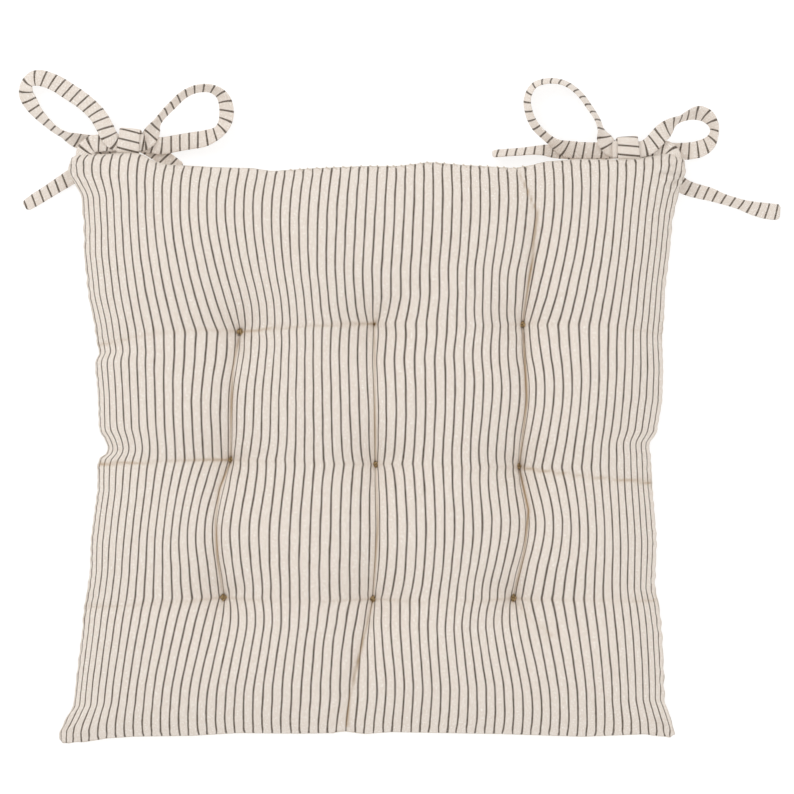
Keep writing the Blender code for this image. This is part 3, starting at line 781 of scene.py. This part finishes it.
def start_heights(s, t, place):
    x, y = place[..., 0], place[..., 1]
    u, v = np.abs(2 * s - 1), np.abs(2 * t - 1)
    seam = SEAM_HEIGHT - (SEAM_HEIGHT - CORNER_HEIGHT) * (u * v) ** 3
    swell = np.sqrt((1 - u ** 2.6) * (1 - v ** 2.6))
    dip = np.ones_like(x)
    under = np.zeros_like(x)
    for row in TUFTS:
        for tuft_x, tuft_y in row:
            gap = np.hypot(x - tuft_x * MM, y - tuft_y * MM)
            dip *= 1 - 0.50 * np.exp(-(gap / 0.022) ** 2)
            under += np.exp(-(gap / 0.018) ** 2)
        rows_y = row[1][1] * MM
        dip *= 1 - 0.13 * np.exp(-((y - rows_y) / 0.016) ** 2)
    for _, route in FOLDS:
        gap, _, _ = fold_distance(route, x, y)
        dip *= 1 - 0.16 * np.exp(-(gap / 0.012) ** 2)
    top = seam + (CREST_HEIGHT - seam) * swell * dip
    bottom = seam - (seam - BASE_HEIGHT) * np.clip(1.25 * swell, 0, 1) + 3.5 * MM * under
    return top, bottom, seam


top_start, bottom_start, seam_start = start_heights(grid_s, grid_t, plan)
print("tops from", round(top_start.min() * 1000, 1), "to", round(top_start.max() * 1000, 1), "mm")

# %% [markdown]
# The cloth is then stuffed.  Both panels are sewn into one bag whose rest
# shape is the flat cut, the seam, the twine and the folds are held, and air
# pressure stands for the wadding.  The cloth is larger than the plan that it
# has to fill, so it swells between the tufts and puckers beside the seam.

# %% Stuffing the bag
PRESSURE = 60.0
STUFFING_FRAMES = 20
MOST_MOVED = 12.0 * MM


def make_bag():
    """One closed bag from two grids; returns it and each vertex's place."""
    bm = bmesh.new()
    panel_of = bm.verts.layers.int.new("panel")
    for panel in (0, 1):
        made = bmesh.ops.create_grid(bm, x_segments=CELLS, y_segments=CELLS, size=0.5)["verts"]
        for vertex in made:
            vertex[panel_of] = panel
        if panel:
            bmesh.ops.reverse_faces(bm, faces=list({face for vertex in made for face in vertex.link_faces}))
    column = np.array([round((vertex.co.x + 0.5) * CELLS) for vertex in bm.verts])
    pick = np.array([round((vertex.co.y + 0.5) * CELLS) for vertex in bm.verts])
    panel = np.array([vertex[panel_of] for vertex in bm.verts])
    heights = np.where(panel == 0, top_start[column, pick], bottom_start[column, pick])
    rim = (column % CELLS == 0) | (pick % CELLS == 0)
    heights[rim] = seam_start[column, pick][rim]
    for vertex, place, height in zip(bm.verts, plan[column, pick], heights):
        vertex.co = (*place, height)
    doubles = {}
    targets = {}
    for index, vertex in enumerate(bm.verts):
        if rim[index]:
            key = (column[index], pick[index])
            if key in doubles:
                targets[vertex] = doubles[key]
            else:
                doubles[key] = vertex
    keep = [index for index, vertex in enumerate(bm.verts) if vertex not in targets]
    bmesh.ops.weld_verts(bm, targetmap=targets)
    bag = piece_from(bm, "bag")
    return bag, column[keep], pick[keep], panel[keep]


def held_weights(column, pick, panel):
    """1 where the cloth is held fast, less along the folds, 0 elsewhere."""
    place = plan[column, pick]
    weights = np.where((column % CELLS == 0) | (pick % CELLS == 0), 1.0, 0.0)
    for line in TUFT_LINES:
        for tuft in TUFT_PICKS:
            gap = np.maximum(np.abs(column - line), np.abs(pick - tuft))
            weights = np.maximum(weights, np.where(gap == 0, 1.0, 0.0))
    for line, route in FOLDS:
        gap, along, _ = fold_distance(route, place[:, 0], place[:, 1])
        on_fold = (panel == 0) & (gap < 1.5 * MM)
        weights = np.maximum(weights, np.where(on_fold, 0.30, 0.0))
    return weights


def stuff(bag, column, pick, panel):
    size_x, size_y = FLAT_SIZE
    bag.shape_key_add(name="start")
    flat = bag.shape_key_add(name="flat cut")
    for index, point in enumerate(flat.data):
        height = (0.002 if panel[index] == 0 else 0.0) + 0.018
        point.co = ((column[index] / CELLS - 0.5) * size_x, (pick[index] / CELLS - 0.5) * size_y, height)
    held = bag.vertex_groups.new(name="held")
    for index, weight in enumerate(held_weights(column, pick, panel)):
        if weight:
            held.add([index], weight, "REPLACE")
    cloth = bag.modifiers.new("stuffed", "CLOTH")
    rule = cloth.settings
    rule.quality = 6
    rule.mass = 0.001
    rule.time_scale = 3.0
    rule.air_damping = 1.0
    rule.tension_stiffness = rule.compression_stiffness = 40.0
    rule.shear_stiffness = 6.0
    rule.bending_stiffness = 20.0
    rule.vertex_group_mass = "held"
    rule.rest_shape_key = flat
    rule.use_pressure = True
    rule.uniform_pressure_force = PRESSURE
    rule.effector_weights.gravity = 0.0
    cloth.collision_settings.use_collision = False
    cloth.point_cache.frame_start, cloth.point_cache.frame_end = 1, STUFFING_FRAMES
    for number in range(1, STUFFING_FRAMES + 1):
        bpy.context.scene.frame_set(number)
    graph = bpy.context.evaluated_depsgraph_get()
    result = bag.evaluated_get(graph).data
    places = np.empty(len(result.vertices) * 3)
    result.vertices.foreach_get("co", places)
    bpy.context.scene.frame_set(1)
    return places.reshape(-1, 3)


def capped(start, moved, most):
    """Keeps every point within a set distance of where it started."""
    shift = moved - start
    far = np.linalg.norm(shift, axis=1, keepdims=True)
    return start + shift * np.minimum(1.0, most / np.maximum(far, 1e-9)), float(far.max())


bag, bag_column, bag_pick, bag_panel = make_bag()
bag_places = np.array([vertex.co for vertex in bag.data.vertices])
bag_places, furthest = capped(bag_places, stuff(bag, bag_column, bag_pick, bag_panel), MOST_MOVED)
print("the furthest point moved", round(furthest * 1000, 1), "mm before the cap")
print("stuffed bag spans", np.round(bag_places.min(0) * 1000, 1), np.round(bag_places.max(0) * 1000, 1))

# %% [markdown]
# ## Folds, puckers and ripples
#
# A stuffed bag alone is too smooth.  Where the twine lines up, the slack cloth
# has closed into sharp folds that run between the tufts; short puckers fan out
# from each tuft; and the turned seam gathers the edge into soft ripples.  The
# cells are halved first, so that a fold can be as narrow as it really is.

# %% Finer cells
FINE_CELLS = 2 * CELLS


def halve_cells(grid):
    """A grid with its cells halved along a curve through its points."""
    for axis in (0, 1):
        lined = np.moveaxis(grid, axis, 0)
        ghost = np.concatenate([2 * lined[:1] - lined[1:2], lined, 2 * lined[-1:] - lined[-2:-1]])
        middle = (9 * (ghost[1:-2] + ghost[2:-1]) - ghost[:-3] - ghost[3:]) / 16
        finer = np.empty((2 * len(lined) - 1, *lined.shape[1:]))
        finer[::2], finer[1::2] = lined, middle
        grid = np.moveaxis(finer, 0, axis)
    return grid


def panel_grid(which):
    """The stuffed places of one panel, row by row, its seam points included."""
    grid = np.zeros((CELLS + 1, CELLS + 1, 3))
    rim = (bag_column % CELLS == 0) | (bag_pick % CELLS == 0)
    mine = (bag_panel == which) | rim
    grid[bag_column[mine], bag_pick[mine]] = bag_places[mine]
    return halve_cells(grid)


top_places, bottom_places = panel_grid(0), panel_grid(1)
bpy.data.objects.remove(bag)
fine_s, fine_t = np.meshgrid(np.linspace(0, 1, FINE_CELLS + 1), np.linspace(0, 1, FINE_CELLS + 1), indexing="ij")
print("fine cells are about", round(FLAT_SIZE[0] / FINE_CELLS * 1000, 1), "mm")

# %% Working the folds in
SHARP_FOLDS = ((FOLDS[0][1], 0.85), (FOLDS[1][1], 0.75), (FOLDS[2][1], 1.0))
# route, depth, and how dark the painted shade along it is
SOFT_FOLDS = (
    (((-94.3, -6.2), (-120, -6), (-150, -8), (-180, -9)), 1.1, 0.75),
    (((93, -10.7), (107, -13), (146, -18), (178, -21)), 1.1, 0.75),
    (((-88.4, 76.7), (-114, 78), (-147, 75), (-180, 68)), 0.9, 0.45),
    (((95.3, 81.3), (130, 82), (160, 78), (186, 76)), 0.7, 0.25),
    (((-98.8, -95.6), (-130, -98), (-160, -101), (-188, -102)), 0.9, 0.40),
    (((89.3, -96.2), (120, -97), (150, -97), (182, -98)), 0.9, 0.40),
    (((-88.4, 76.7), (-60, 79), (-30, 81), (-1, 81.9)), 0.8, 0.65),
    (((-1, 81.9), (30, 80), (62, 80), (95.3, 81.3)), 0.5, 0.20),
    (((-94.3, -6.2), (-48, -9), (-0.3, -9.1)), 0.6, 0.25),
    (((-0.3, -9.1), (46, -11), (93, -10.7)), 0.6, 0.25),
    (((-98.8, -95.6), (-50, -98), (-2, -96.5)), 0.7, 0.40),
    (((-2, -96.5), (44, -98), (89.3, -96.2)), 0.7, 0.40),
    (((89.3, -96.2), (100, -108), (114, -120)), 1.1, 0.45),
    (((-88.4, 76.7), (-80, 98), (-76, 120)), 0.5, 0.0),
    (((-98.8, -95.6), (-104, -118), (-108, -136)), 0.6, 0.0),
    (((-11.7, -136.5), (-17.6, -162.5), (-18.2, -179)), 0.8, 0.85),
)
lumps = np.random.default_rng(11)


def bell(gap, width):
    return np.exp(-(gap / width) ** 2)


def rippling(turns, count):
    """A soft irregular wave from a few seeded sines."""
    wave = np.zeros_like(turns)
    for _ in range(count):
        wave += np.sin(turns * lumps.uniform(0.75, 1.35) + lumps.uniform(0, 2 * math.pi))
    return wave / math.sqrt(count)


def soft_lumps(x, y, size):
    """Uneven stuffing: broad swells in seeded directions."""
    swell = np.zeros_like(x)
    for _ in range(12):
        turn = lumps.uniform(0, math.pi)
        swell += np.sin((x * math.cos(turn) + y * math.sin(turn)) / size * lumps.uniform(0.8, 1.4)
                        + lumps.uniform(0, 2 * math.pi))
    return swell / math.sqrt(12)


def fold_sharply(places, route, strength, fold_shade):
    """Draws the cloth into a fold: down, and sideways towards its line, and paints shade along it."""
    gap, along, on_fold = fold_distance(route, places[..., 0], places[..., 1])
    easing = np.clip(np.minimum(along, 1 - along) / 0.05, 0, 1)
    uneven = 0.82 + 0.18 * np.sin(along * 23 + len(route))
    force = strength * uneven * (0.35 + 0.65 * easing)
    draw = (0.30 * force * bell(gap, 4.5 * MM))[..., None]
    places[..., :2] += (on_fold - places[..., :2]) * draw
    places[..., 2] -= force * (2.6 * MM * bell(gap, 1.9 * MM) + 1.8 * MM * bell(gap, 6.5 * MM))
    # painted shade along the sharp fold's line
    np.maximum(fold_shade, force * bell(gap, 1.1 * MM), out=fold_shade)


fine_around = np.arctan2(fine_t - 0.5, fine_s - 0.5) * 190 * MM
seam_wave = rippling(fine_around / (1.05 * MM), 3)
LEAST_GAP = 1.5 * MM
CORNER_ROUNDING = 0.0085
# x, y, depth and how far round the gathers reach
GATHERS = ((205, 180, 1.5, 13), (-203, 180, 0.9, 12), (-185, 4, 0.6, 9), (182, 0, 0.6, 9), (-186, 66, 0.6, 9),
           (-207, -187, 0.9, 12), (196, -185, 0.7, 12), (-193, -100, 0.7, 10))


def gather_ears(places, side, x, y):
    """Short folds that fan out from each place where the seam is drawn in."""
    for gather_x, gather_y, depth, size in GATHERS:
        away_x, away_y = x - gather_x * MM, y - gather_y * MM
        reach, turn = np.hypot(away_x, away_y), np.arctan2(away_y, away_x)
        fan = np.sin(turn * 2 * math.pi * size / 5.5) * bell(reach - size * MM, 0.7 * size * MM) * depth * MM
        places[..., 0] -= 0.35 * fan * np.sin(turn)
        places[..., 1] += 0.35 * fan * np.cos(turn)
        places[..., 2] += side * 0.7 * fan


def work_folds(places, side):
    """Every fold, pucker and ripple; side is 1 on top and -1 underneath.  Returns the shade painted into the folds and
    tuft dimples.
    """
    # painted shade for folds and tuft dimples, fed to the cloth's fold attribute
    fold_shade = np.zeros(places.shape[:2])
    x, y = places[..., 0].copy(), places[..., 1].copy()
    to_seam = np.minimum.reduce([fine_s, 1 - fine_s, fine_t, 1 - fine_t]) * FLAT_SIZE[0]
    around = np.arctan2(fine_t - 0.5, fine_s - 0.5) * 190 * MM
    inside = 1 - bell(to_seam, 9 * MM)
    lift = np.zeros_like(x)
    if side > 0:
        for route, strength in SHARP_FOLDS:
            fold_sharply(places, route, strength, fold_shade)
        for route, depth, dark in SOFT_FOLDS:
            gap, along, _ = fold_distance(route, x, y)
            ends = 0.5 + 0.5 * np.abs(2 * along - 1)
            lift -= depth * ends * (1.3 * MM * bell(gap, 2.4 * MM) + 1.4 * MM * bell(gap, 10 * MM))
            # painted shade along the soft fold
            np.maximum(fold_shade, dark * ends * bell(gap, 1.3 * MM), out=fold_shade)
    for row in TUFTS:
        for tuft_x, tuft_y in row:
            away_x, away_y = x - tuft_x * MM, y - tuft_y * MM
            gather = 0.42 * np.exp(-np.abs(away_x) / (17 * MM) - np.abs(away_y) / (11 * MM))
            places[..., 0] -= gather * away_x
            places[..., 1] -= 0.4 * gather * away_y
            reach = np.hypot(away_x, away_y)
            turn = np.arctan2(away_y, away_x)
            fan = np.cos(turn * 5 + lumps.uniform(0, 6)) + 0.7 * np.cos(turn * 8 + lumps.uniform(0, 6))
            lift += 0.55 * MM * fan * np.clip(reach / (5 * MM), 0, 1) * bell(reach, 15 * MM)
            lift -= 1.6 * MM * bell(reach, 3.2 * MM)
            # painted shade in the dimple round each tuft
            np.maximum(fold_shade, 0.55 * bell(reach, 3.4 * MM), out=fold_shade)
    gather_ears(places, side, x, y)
    places[..., 0] += 0.38 * MM * seam_wave * bell(to_seam, 7 * MM)
    lift += 0.55 * MM * inside * soft_lumps(x, y, 11 * MM)
    ripple = rippling(around / (3.4 * MM), 4)
    lift += 0.55 * MM * inside * ripple * bell(to_seam - 12 * MM, 13 * MM)
    places[..., 2] += side * lift
    corner = np.hypot(np.minimum(fine_s, 1 - fine_s), np.minimum(fine_t, 1 - fine_t)) * FLAT_SIZE[0]
    places[..., :2] *= (1 - CORNER_ROUNDING * bell(corner, 3.5 * MM))[..., None]
    turn = np.arctan2(np.minimum(fine_t, 1 - fine_t), np.minimum(fine_s, 1 - fine_s) + 1e-9)
    places[..., 2] += side * inside * 0.9 * MM * np.sin(turn * 14) * bell(corner - 26 * MM, 15 * MM)
    return fold_shade


def rest_on_floor(places, ease):
    """Presses the underside flat where it would sink through the seat."""
    height = places[..., 2]
    places[..., 2] = 0.5 * (height + np.sqrt(height ** 2 + ease ** 2))


# painted shade for each panel's folds and tuft dimples
top_fold_shade = work_folds(top_places, 1)
bottom_fold_shade = work_folds(bottom_places, -1)
rest_on_floor(bottom_places, 1.2 * MM)
# the panels never cross, even in the thin corners
from_seam = np.minimum.reduce([fine_s, 1 - fine_s, fine_t, 1 - fine_t]) * FLAT_SIZE[0]
least_gap = LEAST_GAP * np.clip(from_seam / (2 * MM), 0, 1)
top_places[..., 2] = np.maximum(top_places[..., 2], bottom_places[..., 2] + least_gap)
for rim_row in (0, -1):
    top_places[rim_row], top_places[:, rim_row] = bottom_places[rim_row], bottom_places[:, rim_row]
print("top cloth reaches", round(top_places[..., 2].max() * 1000, 1), "mm")

# %% [markdown]
# ## The covers
#
# Each panel is one grid of cloth laid over its worked places, with a thin
# wall so that it has a real inside.  The cloth map on it is the flat cut in
# metres: the stripes bend and close up exactly where the cloth does.

# %% Covers
CLOTH_WALL = 0.6 * MM
LINE_PHASE = 1.5 * MM


def make_cover(name, node, places, fold_shade, side):
    bm = bmesh.new()
    cloth = bm.loops.layers.uv.new(CLOTH_MAP)
    # the fold attribute carries the painted shade of folds and tuft dimples
    fold = bm.verts.layers.float.new("fold")
    bmesh.ops.create_grid(bm, x_segments=FINE_CELLS, y_segments=FINE_CELLS, size=0.5)
    share = {}
    for vertex in bm.verts:
        s, t = vertex.co.x + 0.5, vertex.co.y + 0.5
        column, pick = round(s * FINE_CELLS), round(t * FINE_CELLS)
        share[vertex] = ((s - 0.5) * FLAT_SIZE[0] + LINE_PHASE, (t - 0.5) * FLAT_SIZE[1])
        vertex.co = places[column, pick]
        vertex[fold] = fold_shade[column, pick]
    for face in bm.faces:
        for corner in face.loops:
            corner[cloth].uv = share[corner.vert]
    if side < 0:
        bmesh.ops.reverse_faces(bm, faces=bm.faces[:])
    cover = piece_from(bm, name)
    cover.data.materials.append(ticking)
    wall = cover.modifiers.new("cloth wall", "SOLIDIFY")
    wall.thickness = CLOTH_WALL
    wall.offset = -1.0
    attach(cover, "pad")
    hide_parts(node)
    return cover


cover_top = make_cover("top_cover_cloth", "cover_top", top_places, top_fold_shade, 1)
cover_bottom = make_cover("bottom_cover_cloth", "cover_bottom", bottom_places, bottom_fold_shade, -1)
print("covers have", len(cover_top.data.polygons), "faces each")

# %% [markdown]
# ## The filling
#
# A flat slab of cotton wadding fills the covers from seam to seam.  It is
# made from the same grids, a wall's thickness inside the cloth.

# %% Filling
FILLING_STEP = 4
FILLING_INSET = 1.6 * MM
FILLING_EDGE = 0.1 * MM


def inside_of(places, side):
    """Below the deepest fold within a step of each place, and a little more."""
    count = len(places)
    edged = np.pad(side * places[..., 2], FILLING_STEP, mode="edge")
    steps = range(2 * FILLING_STEP + 1)
    deepest = np.minimum.reduce([edged[i:i + count, j:j + count] for i in steps for j in steps])
    inner = places.copy()
    inner[..., 2] = side * (deepest - FILLING_INSET)
    return inner[::FILLING_STEP, ::FILLING_STEP]


def make_filling():
    bm = bmesh.new()
    panel_of = bm.verts.layers.int.new("panel")
    cells = FINE_CELLS // FILLING_STEP
    inner_top, inner_bottom = inside_of(top_places, 1), inside_of(bottom_places, -1)
    middle = 0.5 * (top_places + bottom_places)[::FILLING_STEP, ::FILLING_STEP]
    inner_top[..., 2] = np.maximum(inner_top[..., 2], middle[..., 2] + FILLING_EDGE)
    inner_bottom[..., 2] = np.minimum(inner_bottom[..., 2], middle[..., 2] - FILLING_EDGE)
    for panel, grid in ((0, inner_top), (1, inner_bottom)):
        made = bmesh.ops.create_grid(bm, x_segments=cells, y_segments=cells, size=0.5)["verts"]
        for vertex in made:
            column, pick = round((vertex.co.x + 0.5) * cells), round((vertex.co.y + 0.5) * cells)
            at_rim = column % cells == 0 or pick % cells == 0
            place = middle[column, pick] if at_rim else grid[column, pick]
            vertex.co = place * ((0.962, 0.962, 1.0) if at_rim else (0.992, 0.992, 1.0))
            vertex[panel_of] = panel
        if panel:
            bmesh.ops.reverse_faces(bm, faces=list({face for vertex in made for face in vertex.link_faces}))
    bmesh.ops.remove_doubles(bm, verts=bm.verts[:], dist=1e-6)
    filling = piece_from(bm, "wadding_slab")
    filling.data.materials.append(wadding)
    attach(filling, "pad")
    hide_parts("filling")
    return filling


def make_wadding():
    recipe = Recipe("cotton_wadding")
    place = recipe.add("ShaderNodeTexCoord").outputs["Object"]
    clumps = recipe.noise(place, 180.0, 5.0)
    recipe.feed(recipe.shader.inputs["Base Color"], recipe.mix(clumps, (0.78, 0.77, 0.74, 1), (0.90, 0.89, 0.87, 1)))
    recipe.shader.inputs["Roughness"].default_value = 1.0
    recipe.bump(clumps, 0.6, 0.0008)
    return recipe.material


wadding = make_wadding()
filling = make_filling()
print("filling is", [round(v * 1000) for v in filling.dimensions], "mm")

# %% [markdown]
# ## Thread and twine
#
# Three kinds of yarn hold the pad.  A sewing thread runs round the seam; a few
# hand stitches close the gap at the back, through which it was filled; and a
# soft brown twine, of two strands laid together, is knotted at each tuft above
# and below.  Every one is a round tube along a line of places.

# %% Drawing threads
THREAD_RADIUS = 0.35 * MM
TWINE_STRAND = 0.42 * MM


def draw_threads(name, runs, radius, resolution=2, closed=False):
    """Round tubes along runs of places, as one mesh."""
    curve = bpy.data.curves.new(name, "CURVE")
    curve.dimensions = "3D"
    curve.bevel_depth = radius
    curve.bevel_resolution = resolution
    curve.use_fill_caps = not closed
    for run in runs:
        line = curve.splines.new("POLY")
        line.points.add(len(run) - 1)
        line.points.foreach_set("co", np.column_stack([run, np.ones(len(run))]).ravel())
        line.use_cyclic_u = closed
    maker = bpy.data.objects.new(name + "_line", curve)
    bpy.context.scene.collection.objects.link(maker)
    bpy.context.view_layer.update()
    mesh = bpy.data.meshes.new_from_object(maker.evaluated_get(bpy.context.evaluated_depsgraph_get()))
    bpy.data.objects.remove(maker)
    mesh.name = name
    mesh.shade_smooth()
    threads = bpy.data.objects.new(name, mesh)
    bpy.context.scene.collection.objects.link(threads)
    return threads


def yarn_material(name, light, dark, scale):
    recipe = Recipe(name)
    place = recipe.add("ShaderNodeTexCoord").outputs["Object"]
    fibres = recipe.noise(place, scale, 3.0)
    recipe.feed(recipe.shader.inputs["Base Color"], recipe.mix(recipe.stretch(fibres, 0.35, 0.65), dark, light))
    recipe.shader.inputs["Roughness"].default_value = 0.85
    recipe.shader.inputs["Specular IOR Level"].default_value = 0.2
    recipe.bump(fibres, 0.5, 0.0002)
    return recipe.material


cream_thread = yarn_material("cream_thread", (0.80, 0.74, 0.66, 1), (0.62, 0.55, 0.46, 1), 1500)
brown_twine = yarn_material("brown_twine", (0.52, 0.37, 0.19, 1), (0.15, 0.095, 0.042, 1), 1100)


def give(piece, material, slot, body, *nodes):
    piece.data.materials.append(material)
    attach(piece, body)
    if nodes:
        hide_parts(*nodes)
    return piece


# %% Seam thread and closing stitches
SEAM_SINK = 0.25 * MM
STITCH_SPACING = 5.5 * MM
CLOSING_FROM, CLOSING_TO = 95.0 * MM, -55.0 * MM


def seam_ring():
    """The seam's places, once round from the front left corner."""
    sides = (top_places[:-1, 0], top_places[-1, :-1], top_places[:0:-1, -1], top_places[0, :0:-1])
    ring = np.concatenate(sides)
    inward = -ring[:, :2] / np.linalg.norm(ring[:, :2], axis=1, keepdims=True)
    ring = ring.copy()
    ring[:, :2] += inward * SEAM_SINK
    return ring


def closing_stitches():
    """Slanting stitches that pass over the back seam from panel to panel."""
    count = round((CLOSING_FROM - CLOSING_TO) / STITCH_SPACING)
    back_x = top_places[:, -1, 0]
    stitches = []
    for number in range(count + 1):
        x = CLOSING_TO + (CLOSING_FROM - CLOSING_TO) * number / count
        column = int(np.argmin(np.abs(back_x - x)))
        low, high = bottom_places[column, -2], top_places[min(column + 1, FINE_CELLS), -2]
        seam = top_places[column, -1] + np.array((0, 0.55 * MM, 0))
        lift_low, lift_high = np.array((0, 0.25 * MM, -0.3 * MM)), np.array((0, 0.25 * MM, 0.3 * MM))
        inner = np.array((0, -1.2 * MM, 0))
        stitches.append(np.array([low + inner, low + lift_low, seam, high + lift_high, high + inner]))
    return stitches


seam_thread = draw_threads("seam_thread_line", [seam_ring()], THREAD_RADIUS, 1, closed=True)
give(seam_thread, cream_thread, "sewing_thread", "pad", "seam_thread")
closing = draw_threads("closing_hand_stitches", closing_stitches(), THREAD_RADIUS, 1)
give(closing, cream_thread, "sewing_thread", "pad", "closing_thread")
print("seam runs", round(np.linalg.norm(np.diff(seam_ring(), axis=0), axis=1).sum() * 1000), "mm")

# %% Tuft knots
KNOT_REACH = 1.55 * MM
KNOT_PITCH = 2.6 * MM


def two_strands(path, radius):
    """Two strands twisted round a path."""
    ahead = np.gradient(path, axis=0)
    ahead /= np.linalg.norm(ahead, axis=1, keepdims=True)
    across = np.cross(ahead, (0.13, 0.21, 0.97))
    across /= np.linalg.norm(across, axis=1, keepdims=True)
    over = np.cross(ahead, across)
    gaps = np.linalg.norm(np.diff(path, axis=0), axis=1)
    turns = np.concatenate([[0.0], np.cumsum(gaps)]) / KNOT_PITCH * 2 * math.pi
    strands = []
    for phase in (0, math.pi):
        swing = np.cos(turns + phase)[:, None] * across + np.sin(turns + phase)[:, None] * over
        strands.append(path + 0.85 * radius * swing)
    return strands


def knot_path(centre, up, size, spin, tails):
    """A pulled knot: a trefoil turn that ends in two short tails."""
    turn = np.linspace(0.15, 2 * math.pi - 0.15, 54)
    x = np.sin(turn) + 2 * np.sin(2 * turn)
    y = np.cos(turn) - 2 * np.cos(2 * turn)
    flat = np.stack([x, y], axis=1) / 3 * size
    body = np.column_stack([flat, up * (0.9 * MM - 0.62 * MM * np.sin(3 * turn))])
    ends = []
    for end, (angle, length) in ((body[0], tails[0]), (body[-1], tails[1])):
        run = np.linspace(0, 1, 9)[1:, None]
        out = np.array((math.cos(angle), math.sin(angle), 0.0)) * length
        droop = np.array((0, 0, up)) * (0.5 * MM * np.sin(run * math.pi) - 0.5 * MM * run)
        ends.append(end + run * out + droop)
    path = np.concatenate([ends[0][::-1], body, ends[1]])
    c, d = math.cos(spin), math.sin(spin)
    path[:, :2] = path[:, :2] @ np.array(((c, d), (-d, c)))
    return path + centre


def make_tuft(row, column):
    line, pick = 2 * TUFT_LINES[column], 2 * TUFT_PICKS[row]
    high, low = top_places[line, pick].copy(), bottom_places[line, pick].copy()
    faint = (row, column) == (2, 1)
    size = KNOT_REACH * (0.75 if faint else lumps.uniform(0.92, 1.12))
    runs = []
    for end, up in ((high, 1), (low, -1)):
        tails = [(lumps.uniform(0, 2 * math.pi), lumps.uniform(1.6, 3.0) * MM) for _ in range(2)]
        panel = top_places if up > 0 else bottom_places
        nearby = panel[line - 1:line + 2, pick - 1:pick + 2, 2]
        sink = 4.2 * MM if faint and up > 0 else 0.7 * MM
        centre = end.copy()
        centre[2] = up * (np.max(up * nearby) - sink)
        if up < 0:
            centre[2] = max(centre[2], 2.2 * MM)
        runs += two_strands(knot_path(centre, up, size, lumps.uniform(0, 2 * math.pi), tails), TWINE_STRAND)
    shank = np.linspace(low, high, 24)
    runs += two_strands(shank, TWINE_STRAND)
    name = f"tuft_knots_{3 - row}_{column + 1}"
    tuft = draw_threads(name, runs, TWINE_STRAND)
    return give(tuft, brown_twine, "tuft_twine", "pad", f"tuft_twine_{3 - row}_{column + 1}")


tufts = [make_tuft(row, column) for row in range(3) for column in range(3)]
print(len(tufts), "tufts of", len(tufts[0].data.polygons), "faces")

# %% [markdown]
# ## The tabs
#
# At each back corner both ties come out of the seam together, one on the
# other.  A short tab of the same ticking wraps the pair there.

# %% Tabs
TAB_LENGTH = 9.5 * MM


def make_tab(name, route_a, route_b):
    low_rows, _ = even_stations(smooth_route(TIE_ROUTES[route_a][:5], 12), 0.35 * MM)
    high_rows, _ = even_stations(smooth_route(TIE_ROUTES[route_b][:5], 12), 0.35 * MM)
    count = min(len(low_rows), len(high_rows))
    rows = 0.5 * (low_rows[:count] + high_rows[:count])
    start = rows[0].copy()
    start[1] -= 1.2 * MM
    rows, along = even_stations([tuple(row) for row in np.concatenate([[start], rows])], 0.35 * MM)
    rows, along = rows[along < TAB_LENGTH], along[along < TAB_LENGTH]
    tab = draw_tape(name, tape_frames(rows), along, TIE_WIDTH + 0.9 * MM, 4.9 * MM, ((0, 1), (1, 1)))
    tab.data.materials.append(ticking)
    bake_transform(tab)
    return tab


tabs = [make_tab("left_tie_tab", "tie_left_a", "tie_left_b"),
        make_tab("right_tie_tab", "tie_right_a", "tie_right_b")]
print("tabs reach", [round(max(v.co.y for v in tab.data.vertices) * 1000, 1) for tab in tabs], "mm")
